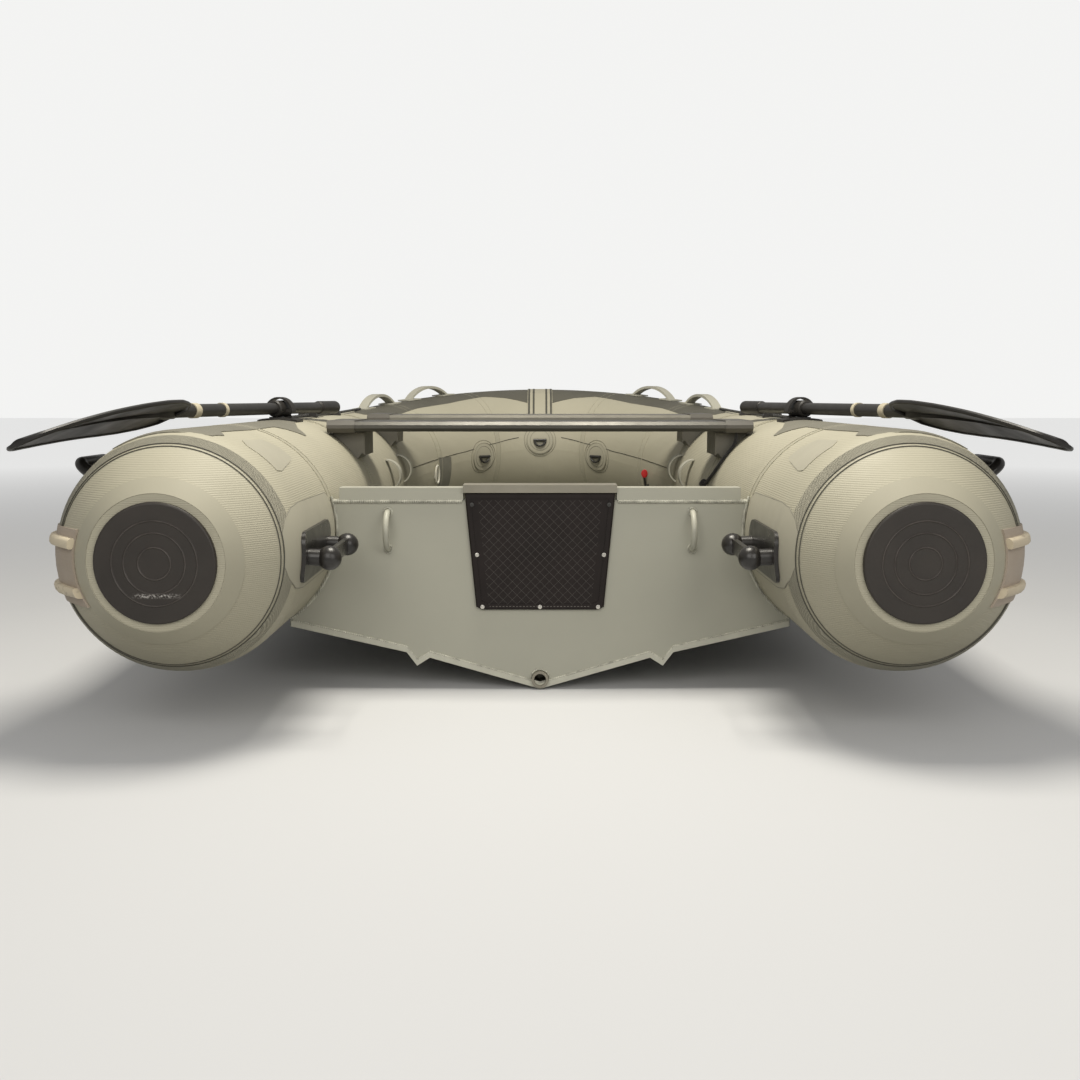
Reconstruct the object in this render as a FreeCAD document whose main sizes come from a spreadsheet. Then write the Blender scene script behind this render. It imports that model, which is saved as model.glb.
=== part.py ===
# A small rigid inflatable tender: a welded aluminium V hull inside an inflated U shaped collar.
# Lengths in millimetres, angles in degrees. X to starboard, Y forward, Z up. The origin is on
# the centreline, on the transom's aft face, at the height of the waterline.
import FreeCAD, Part
import math
import os

import Sketcher

doc = FreeCAD.newDocument("tender")
V = FreeCAD.Vector

sizes = {
    # the inflated collar
    "tubeRadius": 215.0,
    "tubeAxisX": 635.0,
    "axisHeight": 200.0,
    "parallelAft": 331.0,
    "shoulderBend": 129.0,
    "shoulderTurn": 35.5,
    "coneBend": 549.0,
    "coneTurn": 12.0,
    "straightEnd": 1350.0,
    "sideTurn": 50.0,
    "bowRadius": 450.0,
    "sheerRise": 80.0,
    "skinGap": 0.3,
    # moulded caps on the collar's ends
    "capRadius": 102.0,
    "capThickness": 8.0,
    "capRimRound": 4.0,
    "capRingHeight": 1.6,
    "capRingWidth": 4.0,
    "capInnerRing": 27.0,
    "capMiddleRing": 51.0,
    "capOuterRing": 71.0,
    # rubbing strake
    "strakeCentreDrop": 13.5,
    "strakeBandHeight": 132.0,
    "strakeBandThickness": 4.0,
    "ribSpacing": 85.0,
    "ribHeight": 18.0,
    "ribProud": 18.0,
    "strakeEndTurn": 43.0,
    # hull, deck and drain
    "chineX": 517.0,
    "chineDrop": 200.0,
    "keelDrop": 332.0,
    "keelRiseStart": 650.0,
    "deckDrop": 165.0,
    "deckThickness": 4.0,
    "tubeSeatGap": 0.8,
    "hullSeatExtra": 0.6,
    "sprayRailInnerX": 229.0,
    "sprayRailTipX": 255.0,
    "sprayRailOuterX": 276.0,
    "sprayRailInnerDrop": 266.0,
    "sprayRailTipDrop": 283.0,
    "sprayRailOuterDrop": 254.5,
    "stemHalfWidth": 9.0,
    "drainDrop": 311.0,
    "drainOuterRadius": 17.5,
    "drainBoreRadius": 12.5,
    "drainLength": 72.0,
    "drainProud": 10.0,
    "drainSeatGap": 0.05,
    # transom and what it carries
    "transomThickness": 32.0,
    "transomTop": 62.0,
    "railHeight": 26.0,
    "railOverhang": 4.0,
    "railEndX": 410.0,
    "padTop": 78.0,
    "padBottom": -164.0,
    "padTopWidth": 308.0,
    "padBottomWidth": 262.0,
    "padThickness": 9.0,
    "padEdgeChamfer": 3.0,
    "padFieldInset": 12.0,
    "padFieldDepth": 2.0,
    "padCornerCut": 12.0,
    "innerPadShare": 0.62,
    "padCapHeight": 16.0,
    "padCapOverhang": 3.0,
    "towEyeX": 312.0,
    "towEyeHeight": 88.0,
    "towEyeProud": 46.0,
    "towEyeRod": 12.0,
    # seats
    "seatLength": 1040.0,
    "seatDepth": 240.0,
    "seatThickness": 24.0,
    "seatBottom": 187.0,
    "seatCornerRound": 8.0,
    "seatGrooveDepth": 1.5,
    "seatGrooveWidth": 6.0,
    "seatCapLength": 67.0,
    "seatCapWall": 3.0,
    "nearSeatY": 494.0,
    "farSeatY": 1194.0,
    "farSeatRaise": 5.0,
    "bracketLength": 150.0,
    "bracketWidth": 78.0,
    "bracketInset": 8.0,
    "bracketDrop": 82.0,
    # moulded tow handles inside the stern
    "sternHandleAft": 355.0,
    "sternHandleForward": 95.0,
    "sternPadHeight": 92.0,
    "sternPadThickness": 7.0,
    "sternBossRadius": 22.0,
    "sternBossNeck": 15.0,
    "sternBossReach": 44.0,
    "sternStrapWidth": 28.0,
    "sternStrapThickness": 9.0,
    # carry handles on the outer shoulder
    "carryHandleAft": 290.0,
    "carryHandleForward": 60.0,
    "carryHandleAngle": 35.5,
    "carryHandleReach": 46.0,
    "carryGripRadius": 11.0,
    "carryPadWidth": 70.0,
    "carryPadThickness": 6.0,
    # grab handles on the bow
    "grabLength": 190.0,
    "grabRise": 40.0,
    "grabStrapWidth": 34.0,
    "grabStrapThickness": 9.0,
    "grabPadLength": 60.0,
    "grabPadWidth": 58.0,
    "grabPadThickness": 4.0,
    "grabAftTurn": 24.0,
    "grabForwardTurn": 41.0,
    # rowlocks and oars
    "rowlockY": 510.0,
    "rowlockBaseLength": 120.0,
    "rowlockBaseWidth": 96.0,
    "rowlockBaseRise": 6.0,
    "rowlockBossRadius": 27.0,
    "rowlockGap": 0.3,
    "oarHeight": 243.0,
    "oarToe": 12.9,
    "oarShaftRadius": 14.0,
    "collarRadius": 20.0,
    "collarLength": 74.0,
    "pinRadius": 5.0,
    "pinRunningGap": 0.06,
    "pinCapRadius": 11.0,
    "pinCapThickness": 4.0,
    "capRecessSink": 1.0,
    "archRadius": 36.0,
    "archDrop": 8.0,
    "archWidth": 24.0,
    "archThickness": 4.0,
    "archFootHeight": 6.0,
    "oarInboard": 330.0,
    "gripLength": 120.0,
    "gripRadius": 17.0,
    "bladeRoot": 520.0,
    "bladeLength": 510.0,
    "bladeWidth": 156.0,
    "bladeThickness": 6.0,
    "bladeRib": 17.0,
    "bladeTilt": 18.0,
    "bladeDroop": 32.0,
    "ringAlong": 294.0,
    "ringLength": 12.0,
    "bandAlong": 415.0,
    "bandLength": 22.0,
    "bandWall": 2.0,
    # loops and rings inside the collar
    "loopAftY": 1000.0,
    "loopForwardY": 1290.0,
    "loopHeight": 86.0,
    "loopWidth": 42.0,
    "loopThickness": 4.0,
    "loopReach": 30.0,
    "loopRaise": 52.0,
    "ringPatchRadius": 50.0,
    "ringPatchThickness": 3.0,
    "ringSideTurn": 44.5,
    "ringWireRadius": 3.5,
    "ringBarRadius": 4.8,
    "ringBarLift": 2.1,
    "ringOpening": 17.0,
    "ringRaise": 31.0,
    "bowPatchWidth": 92.0,
    "bowPatchThickness": 3.0,
    # lifelines
    "lineRadius": 4.0,
    "lineLift": 4.8,
    "lineClearance": 1.0,
    "lineStartGap": 2.0,
    "lineEndTurn": 15.2,
    # the rope that hangs from the near seat's starboard end, and the knot at its own end
    "ropeRadius": 4.0,
    "ropeClear": 2.0,
    "ropeKnotRadius": 9.0,
    "ropeKnotRound": 3.0,
    "ropeFromEdge": 20.0,
    "ropeForwardSpread": 86.0,
    "arcShare": 0.45,
    "lineBend": 80.0,
    "fittingAftY": 865.0,
    "fittingForwardY": 1250.0,
    "fittingRadius": 26.0,
    "fittingWidth": 22.0,
}

# Where the hanging rope goes: degrees above the tube's side, and the share of its run forward.
ropeShares = [(46.5, 0.02), (37.5, -0.05), (28.5, 0.03), (20.5, 0.36), (14.5, 1.0)]

sheet = doc.addObject("Spreadsheet::Sheet", "Sizes")
for row, (name, value) in enumerate(sizes.items(), 1):
    sheet.set(f"A{row}", name)
    sheet.set(f"B{row}", str(value))
    sheet.setAlias(f"B{row}", name)
doc.recompute()


def size(name):
    return float(getattr(sheet, name))


nodes = {}
origin = V(0, 0, 0)
across = V(1, 0, 0)
forward = V(0, 1, 0)
up = V(0, 0, 1)


def keep(label, item):
    item.Label = label
    nodes[label] = item


def feature(label, shape):
    item = doc.addObject("Part::Feature", label)
    item.Shape = shape
    item.Placement = shape.Placement
    keep(label, item)


def mirrored(shape):
    return shape.mirror(origin, across)


def pair(label, shape):
    # The shape is the starboard one; the port one is its mirror image.
    feature(label + "_starboard", shape)
    feature(label + "_port", mirrored(shape))


def rounded(point, radius, turn):
    # A point on a circle in the YZ sense of a profile: turn 0 points outboard, 90 points aft.
    angle = math.radians(turn)
    return V(point.x + radius * math.cos(angle), point.y - radius * math.sin(angle), 0)


def face(edges):
    return Part.Face(Part.Wire(Part.__sortEdges__(edges)))


def line(a, b):
    return Part.LineSegment(a, b).toShape()


def arc(a, b, c):
    return Part.Arc(a, b, c).toShape()


# The collar's route. On each side it runs straight forward, then turns in two arcs to the bow,
# and rises to the bow in a smooth S.
tubeRadius = size("tubeRadius")
tubeAxisX = size("tubeAxisX")
axisHeight = size("axisHeight")
straightEnd = size("straightEnd")
sideTurn = math.radians(size("sideTurn"))
bowRadius = size("bowRadius")
sideRadius = (tubeAxisX - bowRadius * math.cos(sideTurn)) / (1 - math.cos(sideTurn))
bowCentreY = straightEnd + (sideRadius - bowRadius) * math.sin(sideTurn)
sideArc = sideRadius * sideTurn
bowArc = bowRadius * (math.pi / 2 - sideTurn)


def axisAt(turn):
    # The collar's axis on the starboard side, turn degrees round from straight ahead.
    angle = math.radians(turn)
    if angle <= sideTurn:
        x = tubeAxisX - sideRadius * (1 - math.cos(angle))
        y = straightEnd + sideRadius * math.sin(angle)
        along = sideRadius * angle
    else:
        x = bowRadius * math.cos(angle)
        y = bowCentreY + bowRadius * math.sin(angle)
        along = sideArc + bowRadius * (angle - sideTurn)
    share = along / (sideArc + bowArc)
    rise = size("sheerRise") * share * share * (3 - 2 * share)
    return V(x, y, axisHeight + rise)


def inboardOf(turn, reach, lift=0.0):
    # A point beside the collar's axis: reach towards the boat's inside, lift upwards.
    angle = math.radians(turn)
    return axisAt(turn) + V(-math.cos(angle), -math.sin(angle), 0) * reach + up * lift


def collarFrame(turn):
    # The frame square to the collar's axis: local x outboard, y ahead, z upwards.
    angle = math.radians(turn)
    out = V(math.cos(angle), math.sin(angle), 0)
    flatAhead = V(-math.sin(angle), math.cos(angle), 0)
    step = axisAt(turn) - axisAt(turn - 1)
    slope = step.z / step.Length if 0 < turn < 90 else 0
    ahead = flatAhead + up * slope
    ahead.normalize()
    lift = out.cross(ahead)
    point = axisAt(turn)
    return FreeCAD.Placement(FreeCAD.Matrix(
        out.x, ahead.x, lift.x, point.x, out.y, ahead.y, lift.y, point.y,
        out.z, ahead.z, lift.z, point.z, 0, 0, 0, 1))


bowTurns = [90 * step / 12 for step in range(13)]


def runRoundBow(profile):
    # A solid with this profile all the way round the bow. The profile is drawn about the
    # collar's axis in its own XZ plane, with x outboard.
    sections = []
    for turn in bowTurns:
        section = profile.copy()
        section.Placement = collarFrame(turn)
        sections.append(section)
    half = Part.makeLoft(sections, True, False)
    return half.fuse(mirrored(half)).removeSplitter()


def collarRound(radius):
    points = [V(radius * math.cos(turn), 0, radius * math.sin(turn))
              for turn in (math.pi / 4 * step for step in range(9))]
    return Part.Wire([arc(points[first], points[first + 1], points[(first + 2) % 8])
                      for first in (0, 2, 4, 6)])


def sideRod(radius, sternY):
    base = V(tubeAxisX, sternY, axisHeight)
    return Part.makeCylinder(radius, straightEnd - sternY, base, forward)


# The end of a side tube is a shoulder and a cone, both arcs in the tube's own profile. The
# profile's x is the distance from the tube's axis and its y is the boat's Y.
shoulderTurn = size("shoulderTurn")
endTurn = shoulderTurn + size("coneTurn")
shoulderCentre = V(tubeRadius - size("shoulderBend"), -size("parallelAft"), 0)
coneCentre = rounded(shoulderCentre, size("shoulderBend") - size("coneBend"), shoulderTurn)
coneEnd = rounded(coneCentre, size("coneBend"), endTurn)
capFaceY = coneEnd.y - size("capThickness")


def endProfile(offset, lastTurn):
    # The edges from the parallel tube's start round the shoulder and down the cone.
    shoulder = size("shoulderBend") + offset
    cone = size("coneBend") + offset
    edges = [line(V(tubeRadius + offset, straightEnd, 0), rounded(shoulderCentre, shoulder, 0))]
    edges.append(arc(rounded(shoulderCentre, shoulder, 0),
                     rounded(shoulderCentre, shoulder, shoulderTurn / 2),
                     rounded(shoulderCentre, shoulder, shoulderTurn)))
    edges.append(arc(rounded(coneCentre, cone, shoulderTurn),
                     rounded(coneCentre, cone, (shoulderTurn + lastTurn) / 2),
                     rounded(coneCentre, cone, lastTurn)))
    return edges


def bodyPlane(body, role):
    return [item for item in body.Origin.OriginFeatures if item.Role == role][0]


def sketchOn(body, role, name, edges):
    sketch = body.newObject("Sketcher::SketchObject", name)
    sketch.AttachmentSupport = [(bodyPlane(body, role), "")]
    sketch.MapMode = "FlatFace"
    for edge in edges:
        sketch.addGeometry(edge, False)
    return sketch


def polyline(points):
    return [Part.LineSegment(a, b) for a, b in zip(points, points[1:] + points[:1])]


def revolvedBody(label, edges):
    # A body of revolution about its own Y axis, set on the starboard or port tube's axis.
    body = doc.addObject("PartDesign::Body", label)
    sketch = sketchOn(body, "XY_Plane", label + "_profile", edges)
    turned = body.newObject("PartDesign::Revolution", label + "_turned")
    turned.Profile = sketch
    turned.ReferenceAxis = (sketch, ["V_Axis"])
    turned.Angle = 360
    sign = "-" if label.endswith("port") else ""
    body.setExpression("Placement.Base.x", sign + "Sizes.tubeAxisX")
    body.setExpression("Placement.Base.z", "Sizes.axisHeight")
    keep(label, body)
    return body


def sketchEdges(edges):
    # The curves of some edges, as a sketch takes them.
    curves = []
    for edge in edges:
        ends = [vertex.Point for vertex in edge.Vertexes]
        middle = edge.valueAt((edge.FirstParameter + edge.LastParameter) / 2)
        if isinstance(edge.Curve, Part.Line):
            curves.append(Part.LineSegment(ends[0], ends[1]))
        else:
            curves.append(Part.Arc(ends[0], middle, ends[1]))
    return curves


# The three air chambers.
for label in ("tube_starboard", "tube_port"):
    outline = sketchEdges(endProfile(0, endTurn))
    outline += [Part.LineSegment(coneEnd, V(0, coneEnd.y, 0)),
                Part.LineSegment(V(0, coneEnd.y, 0), V(0, straightEnd, 0)),
                Part.LineSegment(V(0, straightEnd, 0), V(tubeRadius, straightEnd, 0))]
    revolvedBody(label, outline)
feature("tube_bow", runRoundBow(collarRound(tubeRadius)))

# The moulded caps: a rounded rim and three raised rings, turned about the tube's axis.
capRadius = size("capRadius")
rimRound = size("capRimRound")


def ringBump(radius):
    half = size("capRingWidth") / 2
    return [V(radius - half, capFaceY, 0), V(radius, capFaceY - size("capRingHeight"), 0),
            V(radius + half, capFaceY, 0)]


for label in ("end_cap_starboard", "end_cap_port"):
    points = [V(0, coneEnd.y, 0), V(0, capFaceY, 0)]
    for ring in ("capInnerRing", "capMiddleRing", "capOuterRing"):
        points += ringBump(size(ring))
    points.append(V(capRadius - rimRound, capFaceY, 0))
    rimCentre = V(capRadius - rimRound, capFaceY + rimRound, 0)
    rim = Part.Arc(points[-1], rounded(rimCentre, rimRound, 45), rounded(rimCentre, rimRound, 0))
    outline = [Part.LineSegment(a, b) for a, b in zip(points, points[1:])]
    outline += [rim, Part.LineSegment(V(capRadius, rimCentre.y, 0), V(capRadius, coneEnd.y, 0)),
                Part.LineSegment(V(capRadius, coneEnd.y, 0), points[0])]
    revolvedBody(label, outline)


# The rubbing strake: a flat band with two ribs, from one cap round the bow to the other. Each
# strip is the part of a skin round the collar that lies between two heights.
def skinStrip(low, high, inner, outer):
    edges = endProfile(inner, size("strakeEndTurn")) + endProfile(outer, size("strakeEndTurn"))
    lastIn = rounded(coneCentre, size("coneBend") + inner, size("strakeEndTurn"))
    lastOut = rounded(coneCentre, size("coneBend") + outer, size("strakeEndTurn"))
    edges += [line(lastIn, lastOut),
              line(V(tubeRadius + inner, straightEnd, 0), V(tubeRadius + outer, straightEnd, 0))]
    skin = face(edges).revolve(origin, forward, 360)
    skin.translate(V(tubeAxisX, 0, axisHeight))
    length = straightEnd - capFaceY
    slab = Part.makeBox(tubeRadius + outer, length, high - low,
                        V(tubeAxisX, capFaceY, axisHeight + low))
    side = skin.common(slab)
    corners = []
    for radius, height in ((tubeRadius + inner, low), (tubeRadius + inner, (low + high) / 2),
                           (tubeRadius + inner, high), (tubeRadius + outer, high),
                           (tubeRadius + outer, (low + high) / 2), (tubeRadius + outer, low)):
        reach = math.sqrt(radius * radius - height * height)
        corners.append(V(reach, 0, height))
    outline = Part.Wire([arc(corners[0], corners[1], corners[2]), line(corners[2], corners[3]),
                         arc(corners[3], corners[4], corners[5]), line(corners[5], corners[0])])
    bow = runRoundBow(outline)
    return side.fuse(bow).fuse(mirrored(side))


bandMiddle = -size("strakeCentreDrop")
bandHalf = size("strakeBandHeight") / 2
bandFace = size("skinGap") + size("strakeBandThickness")
feature("rub_strake", skinStrip(bandMiddle - bandHalf, bandMiddle + bandHalf,
                                size("skinGap"), bandFace))
ribs = []
for side in (-1, 1):
    middle = bandMiddle + side * size("ribSpacing") / 2
    half = size("ribHeight") / 2
    inner = bandFace + size("skinGap")
    ribs.append(skinStrip(middle - half, middle + half, inner, inner + size("ribProud")))
feature("strake_ribs", Part.makeCompound(ribs))

# The hull's cross section at one place along the boat. The bottom is a V with a small spray
# rail on each side, and the sides stop under the collar.
sectionShares = {}
sternRise = size("keelDrop") - size("chineDrop")
for key in ("Inner", "Tip", "Outer"):
    xShare = size("sprayRail" + key + "X") / size("chineX")
    zShare = (size("keelDrop") - size("sprayRail" + key + "Drop")) / sternRise
    sectionShares[key] = (xShare, zShare)
transomThickness = size("transomThickness")
chineInset = tubeAxisX - size("chineX")


def keelHeight(y):
    tip = inboardOf(90, chineInset, -size("chineDrop"))
    low = axisHeight - size("keelDrop")
    if y <= size("keelRiseStart"):
        return low
    share = (y - size("keelRiseStart")) / (tip.y - size("keelRiseStart"))
    return low + (tip.z - low) * share ** 2.4


def halfBottom(chine, keelZ, fade):
    # Points from the keel out to the chine. The spray rail's tip sinks into the V as it fades.
    rise = chine.z - keelZ
    flat = (sectionShares["Inner"][1] + sectionShares["Outer"][1]) / 2
    points = [V(0, chine.y, keelZ)]
    for key in ("Inner", "Tip", "Outer"):
        xShare, zShare = sectionShares[key]
        zShare += (flat - zShare) * fade * (key == "Tip")
        points.append(V(chine.x * xShare, chine.y, keelZ + rise * zShare))
    return points + [chine]


tubeSeat = tubeRadius + size("tubeSeatGap")
hullSeat = tubeSeat + size("hullSeatExtra")
deckTopDrop = size("deckDrop")
deckUnderDrop = deckTopDrop + size("deckThickness")


def seatInset(drop):
    # How far inboard of the collar's axis its seat lies, that far below the axis.
    return math.sqrt(hullSeat * hullSeat - drop * drop)


def seatPoint(y, drop):
    # The point on the collar's seat at one place along the boat, drop below the collar's axis.
    inset = seatInset(drop)
    if y <= straightEnd:
        return V(tubeAxisX - inset, y, axisHeight - drop)
    low, high = 0.0, 90.0
    for _ in range(40):
        turn = (low + high) / 2
        if inboardOf(turn, inset).y < y:
            low = turn
        else:
            high = turn
    point = inboardOf(turn, inset, -drop)
    if point.y < y - 1e-3:
        lower = math.sqrt(hullSeat * hullSeat - (axisAt(90).y - y) ** 2)
        return V(size("stemHalfWidth"), y, axisAt(90).z - lower)
    return V(max(point.x, size("stemHalfWidth")), y, point.z)


def stationChines():
    # The chine's points along the starboard side, from the transom to the stem.
    low = axisHeight - size("chineDrop")
    rise = size("keelRiseStart")
    chines = [V(size("chineX"), y, low)
              for y in (transomThickness, rise, (rise + straightEnd) / 2)]
    side = math.degrees(sideTurn)
    turns = [side * step / 8 for step in range(9)]
    turns += [side + (90 - side) * share for share in (0.15, 0.3, 0.45, 0.6, 0.72, 0.84, 0.95)]
    for turn in turns:
        chine = inboardOf(turn, chineInset, -size("chineDrop"))
        chines.append(V(max(chine.x, size("stemHalfWidth")), chine.y, chine.z))
    return chines


def closedSection(half):
    # A section from its starboard half, whose first point is on the centreline or mirrored too.
    other = [V(-point.x, point.y, point.z) for point in reversed(half) if abs(point.x) > 1e-6]
    return Part.makePolygon(half + other + [half[0]])


hullStations = []
deckStations = []
for chine in stationChines():
    fade = max(0.0, (chine.y - size("keelRiseStart")) / (straightEnd - size("keelRiseStart")))
    sideTop = V(chine.x, chine.y,
                chine.z + size("chineDrop") - seatInset(chineInset))
    deckEdge = seatPoint(chine.y, deckUnderDrop)
    half = halfBottom(chine, keelHeight(chine.y), min(fade, 1.0)) + [sideTop, deckEdge]
    hullStations.append(closedSection(half))
    deckTopEdge = seatPoint(chine.y, deckTopDrop)
    if deckTopEdge.x > size("stemHalfWidth"):
        deckStations.append(closedSection([deckEdge, deckTopEdge]))
drainZ = axisHeight - size("drainDrop")
drainHole = Part.makeCylinder(size("drainOuterRadius") + size("drainSeatGap"),
                              size("drainLength") - size("drainProud"),
                              V(0, 0, drainZ), forward)
feature("hull_bottom", Part.makeLoft(hullStations, True, True).cut(drainHole))
feature("deck", Part.makeLoft(deckStations, True, True))

# The transom: one plate whose bottom edge is the hull's section and whose ends follow the tubes.
def onTubeSeat(height):
    reach = math.sqrt(tubeSeat * tubeSeat - height * height)
    return V(tubeAxisX - reach, 0, axisHeight + height)


padHalfTop = size("padTopWidth") / 2
padHalfBottom = size("padBottomWidth") / 2
transomTopZ = axisHeight + size("transomTop")
padTopZ = axisHeight + size("padTop")
padBottomZ = axisHeight + size("padBottom")
sternChine = V(size("chineX"), 0, axisHeight - size("chineDrop"))
bottom = halfBottom(sternChine, axisHeight - size("keelDrop"), 0.0)
sideLow = onTubeSeat(-math.sqrt(tubeSeat ** 2 - (tubeAxisX - size("chineX")) ** 2))
sideTop = onTubeSeat(size("transomTop"))
starboardSide = [Part.LineSegment(a, b) for a, b in zip(bottom, bottom[1:])]
starboardSide.append(Part.LineSegment(bottom[-1], sideLow))
starboardSide.append(Part.Arc(sideLow, onTubeSeat(0), sideTop))
topRun = [sideTop, V(padHalfTop, 0, transomTopZ), V(padHalfTop, 0, padTopZ), V(0, 0, padTopZ)]
starboardSide += [Part.LineSegment(a, b) for a, b in zip(topRun, topRun[1:])]


def inPlane(point):
    # A point of the boat's XZ plane, as a sketch on that plane writes it.
    return V(point.x, point.z, 0)


def flatCurves(curves, flip):
    sign = -1 if flip else 1
    flat = []
    for curve in curves:
        ends = [inPlane(V(p.x * sign, 0, p.z)) for p in (curve.StartPoint, curve.EndPoint)]
        if isinstance(curve, Part.LineSegment):
            flat.append(Part.LineSegment(ends[0], ends[1]))
        else:
            middle = curve.value((curve.FirstParameter + curve.LastParameter) / 2)
            flat.append(Part.Arc(ends[0], inPlane(V(middle.x * sign, 0, middle.z)), ends[1]))
    return flat


def platePad(label, curves, thickness):
    # A plate drawn on its body's XZ plane and raised forward from it.
    body = doc.addObject("PartDesign::Body", label)
    sketch = sketchOn(body, "XZ_Plane", label + "_outline", curves)
    plate = body.newObject("PartDesign::Pad", label + "_plate")
    plate.Profile = sketch
    plate.Reversed = True
    plate.setExpression("Length", thickness)
    keep(label, body)
    return body


transom = platePad("transom", flatCurves(starboardSide, False) + flatCurves(starboardSide, True),
                   "Sizes.transomThickness")
holeSketch = sketchOn(transom, "XZ_Plane", "drain_hole_outline",
                      [Part.Circle(V(0, drainZ, 0), up, size("drainOuterRadius")
                                   + size("drainSeatGap"))])
drainPocket = transom.newObject("PartDesign::Pocket", "drain_hole")
drainPocket.Profile = holeSketch
drainPocket.Type = 1

drain = doc.addObject("Part::Cylinder", "drain_pipe")
drain.setExpression("Radius", "Sizes.drainOuterRadius")
drain.setExpression("Height", "Sizes.drainLength")
drainBore = doc.addObject("Part::Cylinder", "drain_bore")
drainBore.setExpression("Radius", "Sizes.drainBoreRadius")
drainBore.setExpression("Height", "Sizes.drainLength")
drainCut = doc.addObject("Part::Cut", "drain_tube")
drainCut.Base = drain
drainCut.Tool = drainBore
drainCut.Placement.Rotation = FreeCAD.Rotation(up, forward)
drainCut.setExpression("Placement.Base.y", "-Sizes.drainProud")
drainCut.setExpression("Placement.Base.z", "Sizes.axisHeight - Sizes.drainDrop")
keep("drain_tube", drainCut)

# The rails welded along the transom's top edge, one each side of the motor pad.
for label, sign in (("top_rail_starboard", ""), ("top_rail_port", "-")):
    rail = doc.addObject("Part::Box", label)
    inner = "Sizes.padTopWidth / 2 + Sizes.padCapOverhang"
    rail.setExpression("Length", f"Sizes.railEndX - ({inner})")
    rail.setExpression("Width", "Sizes.transomThickness + 2 * Sizes.railOverhang")
    rail.setExpression("Height", "Sizes.railHeight")
    start = "-Sizes.railEndX" if sign else inner
    rail.setExpression("Placement.Base.x", start)
    rail.setExpression("Placement.Base.y", "-Sizes.railOverhang")
    rail.setExpression("Placement.Base.z", "Sizes.axisHeight + Sizes.transomTop")
    keep(label, rail)


# The motor pads: a tapered plate with cut lower corners, a chamfered edge and a sunk field.
def padOutline(inset, bottomZ):
    slope = (padHalfTop - padHalfBottom) / (padTopZ - padBottomZ)
    cut = size("padCornerCut")
    lowHalf = padHalfTop - slope * (padTopZ - bottomZ)
    points = [V(padHalfTop - inset, padTopZ - inset, 0),
              V(lowHalf + slope * (inset + cut / 2) - inset, bottomZ + inset + cut / 2, 0),
              V(lowHalf - inset - cut, bottomZ + inset, 0)]
    return points + [V(-point.x, point.y, 0) for point in reversed(points)]


def motorPad(label, bottomZ, faceAft):
    body = platePad(label, polyline(padOutline(0, bottomZ)), "Sizes.padThickness")
    doc.recompute()
    plate = body.Tip
    outer = [f"Face{i + 1}" for i, item in enumerate(plate.Shape.Faces)
             if abs(item.normalAt(0, 0).y) > 0.99
             and abs(item.CenterOfMass.y - (0 if faceAft else size("padThickness"))) < 0.01]
    chamfer = body.newObject("PartDesign::Chamfer", label + "_edge")
    chamfer.Base = (plate, outer)
    chamfer.setExpression("Size", "Sizes.padEdgeChamfer")
    doc.recompute()
    field = sketchOn(body, "XZ_Plane", label + "_field",
                     polyline(padOutline(size("padFieldInset"), bottomZ)))
    if not faceAft:
        field.setExpression("AttachmentOffset.Base.z", "-Sizes.padThickness")
    sunk = body.newObject("PartDesign::Pocket", label + "_sunk_field")
    sunk.Profile = field
    sunk.setExpression("Length", "Sizes.padFieldDepth")
    sunk.Reversed = not faceAft
    body.Tip = sunk
    base = "-Sizes.padThickness" if faceAft else "Sizes.transomThickness"
    body.setExpression("Placement.Base.y", base)


motorPad("motor_pad", padBottomZ, True)
innerBottom = padTopZ - (padTopZ - padBottomZ) * size("innerPadShare")
motorPad("inner_motor_pad", innerBottom, False)

capWidth = doc.addObject("Part::Box", "pad_cap")
capWidth.setExpression("Length", "Sizes.padTopWidth + 2 * Sizes.padCapOverhang")
capWidth.setExpression(
    "Width", "Sizes.transomThickness + 2 * (Sizes.padThickness + Sizes.padCapOverhang)")
capWidth.setExpression("Height", "Sizes.padCapHeight")
capWidth.setExpression("Placement.Base.x", "-Sizes.padTopWidth / 2 - Sizes.padCapOverhang")
capWidth.setExpression("Placement.Base.y", "-Sizes.padThickness - Sizes.padCapOverhang")
capWidth.setExpression("Placement.Base.z", "Sizes.axisHeight + Sizes.padTop")
keep("pad_cap", capWidth)


# A bent rod welded at both ends, for the tow eyes and the bow eye. It stands out along -Y from
# the origin's plane, with its ends one above the other.
def bentRod(height, proud, rod):
    radius = (height - rod) / 2
    straight = proud - radius - rod / 2
    low = V(0, 0, -radius)
    high = V(0, 0, radius)
    route = Part.Wire([line(low, low - forward * straight),
                       arc(low - forward * straight, V(0, -straight - radius, 0),
                           high - forward * straight),
                       line(high - forward * straight, high)])
    ring = Part.Wire([Part.makeCircle(rod / 2, low, forward * -1)])
    return route.makePipeShell([ring], True, True)


towEye = bentRod(size("towEyeHeight"), size("towEyeProud"), size("towEyeRod"))
towEye.translate(V(size("towEyeX"), 0, axisHeight))
feature("tow_eyes", Part.makeCompound([towEye, mirrored(towEye)]))


# What the pieces that stand on the collar are cut to.
sideSeat = sideRod(tubeSeat, -size("parallelAft"))
bowSeat = runRoundBow(collarRound(tubeSeat))


# The seats: a long board with grooves along its top, in a moulded cap at each end.
def seatSection(grow):
    width = size("seatDepth") / 2 + grow
    high = size("seatThickness") + grow
    cut = size("seatCornerRound") + grow
    return [V(-width + cut, -grow, 0), V(width - cut, -grow, 0), V(width, cut - grow, 0),
            V(width, high - cut, 0), V(width - cut, high, 0), V(-width + cut, high, 0),
            V(-width, high - cut, 0), V(-width, cut - grow, 0)]


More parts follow.
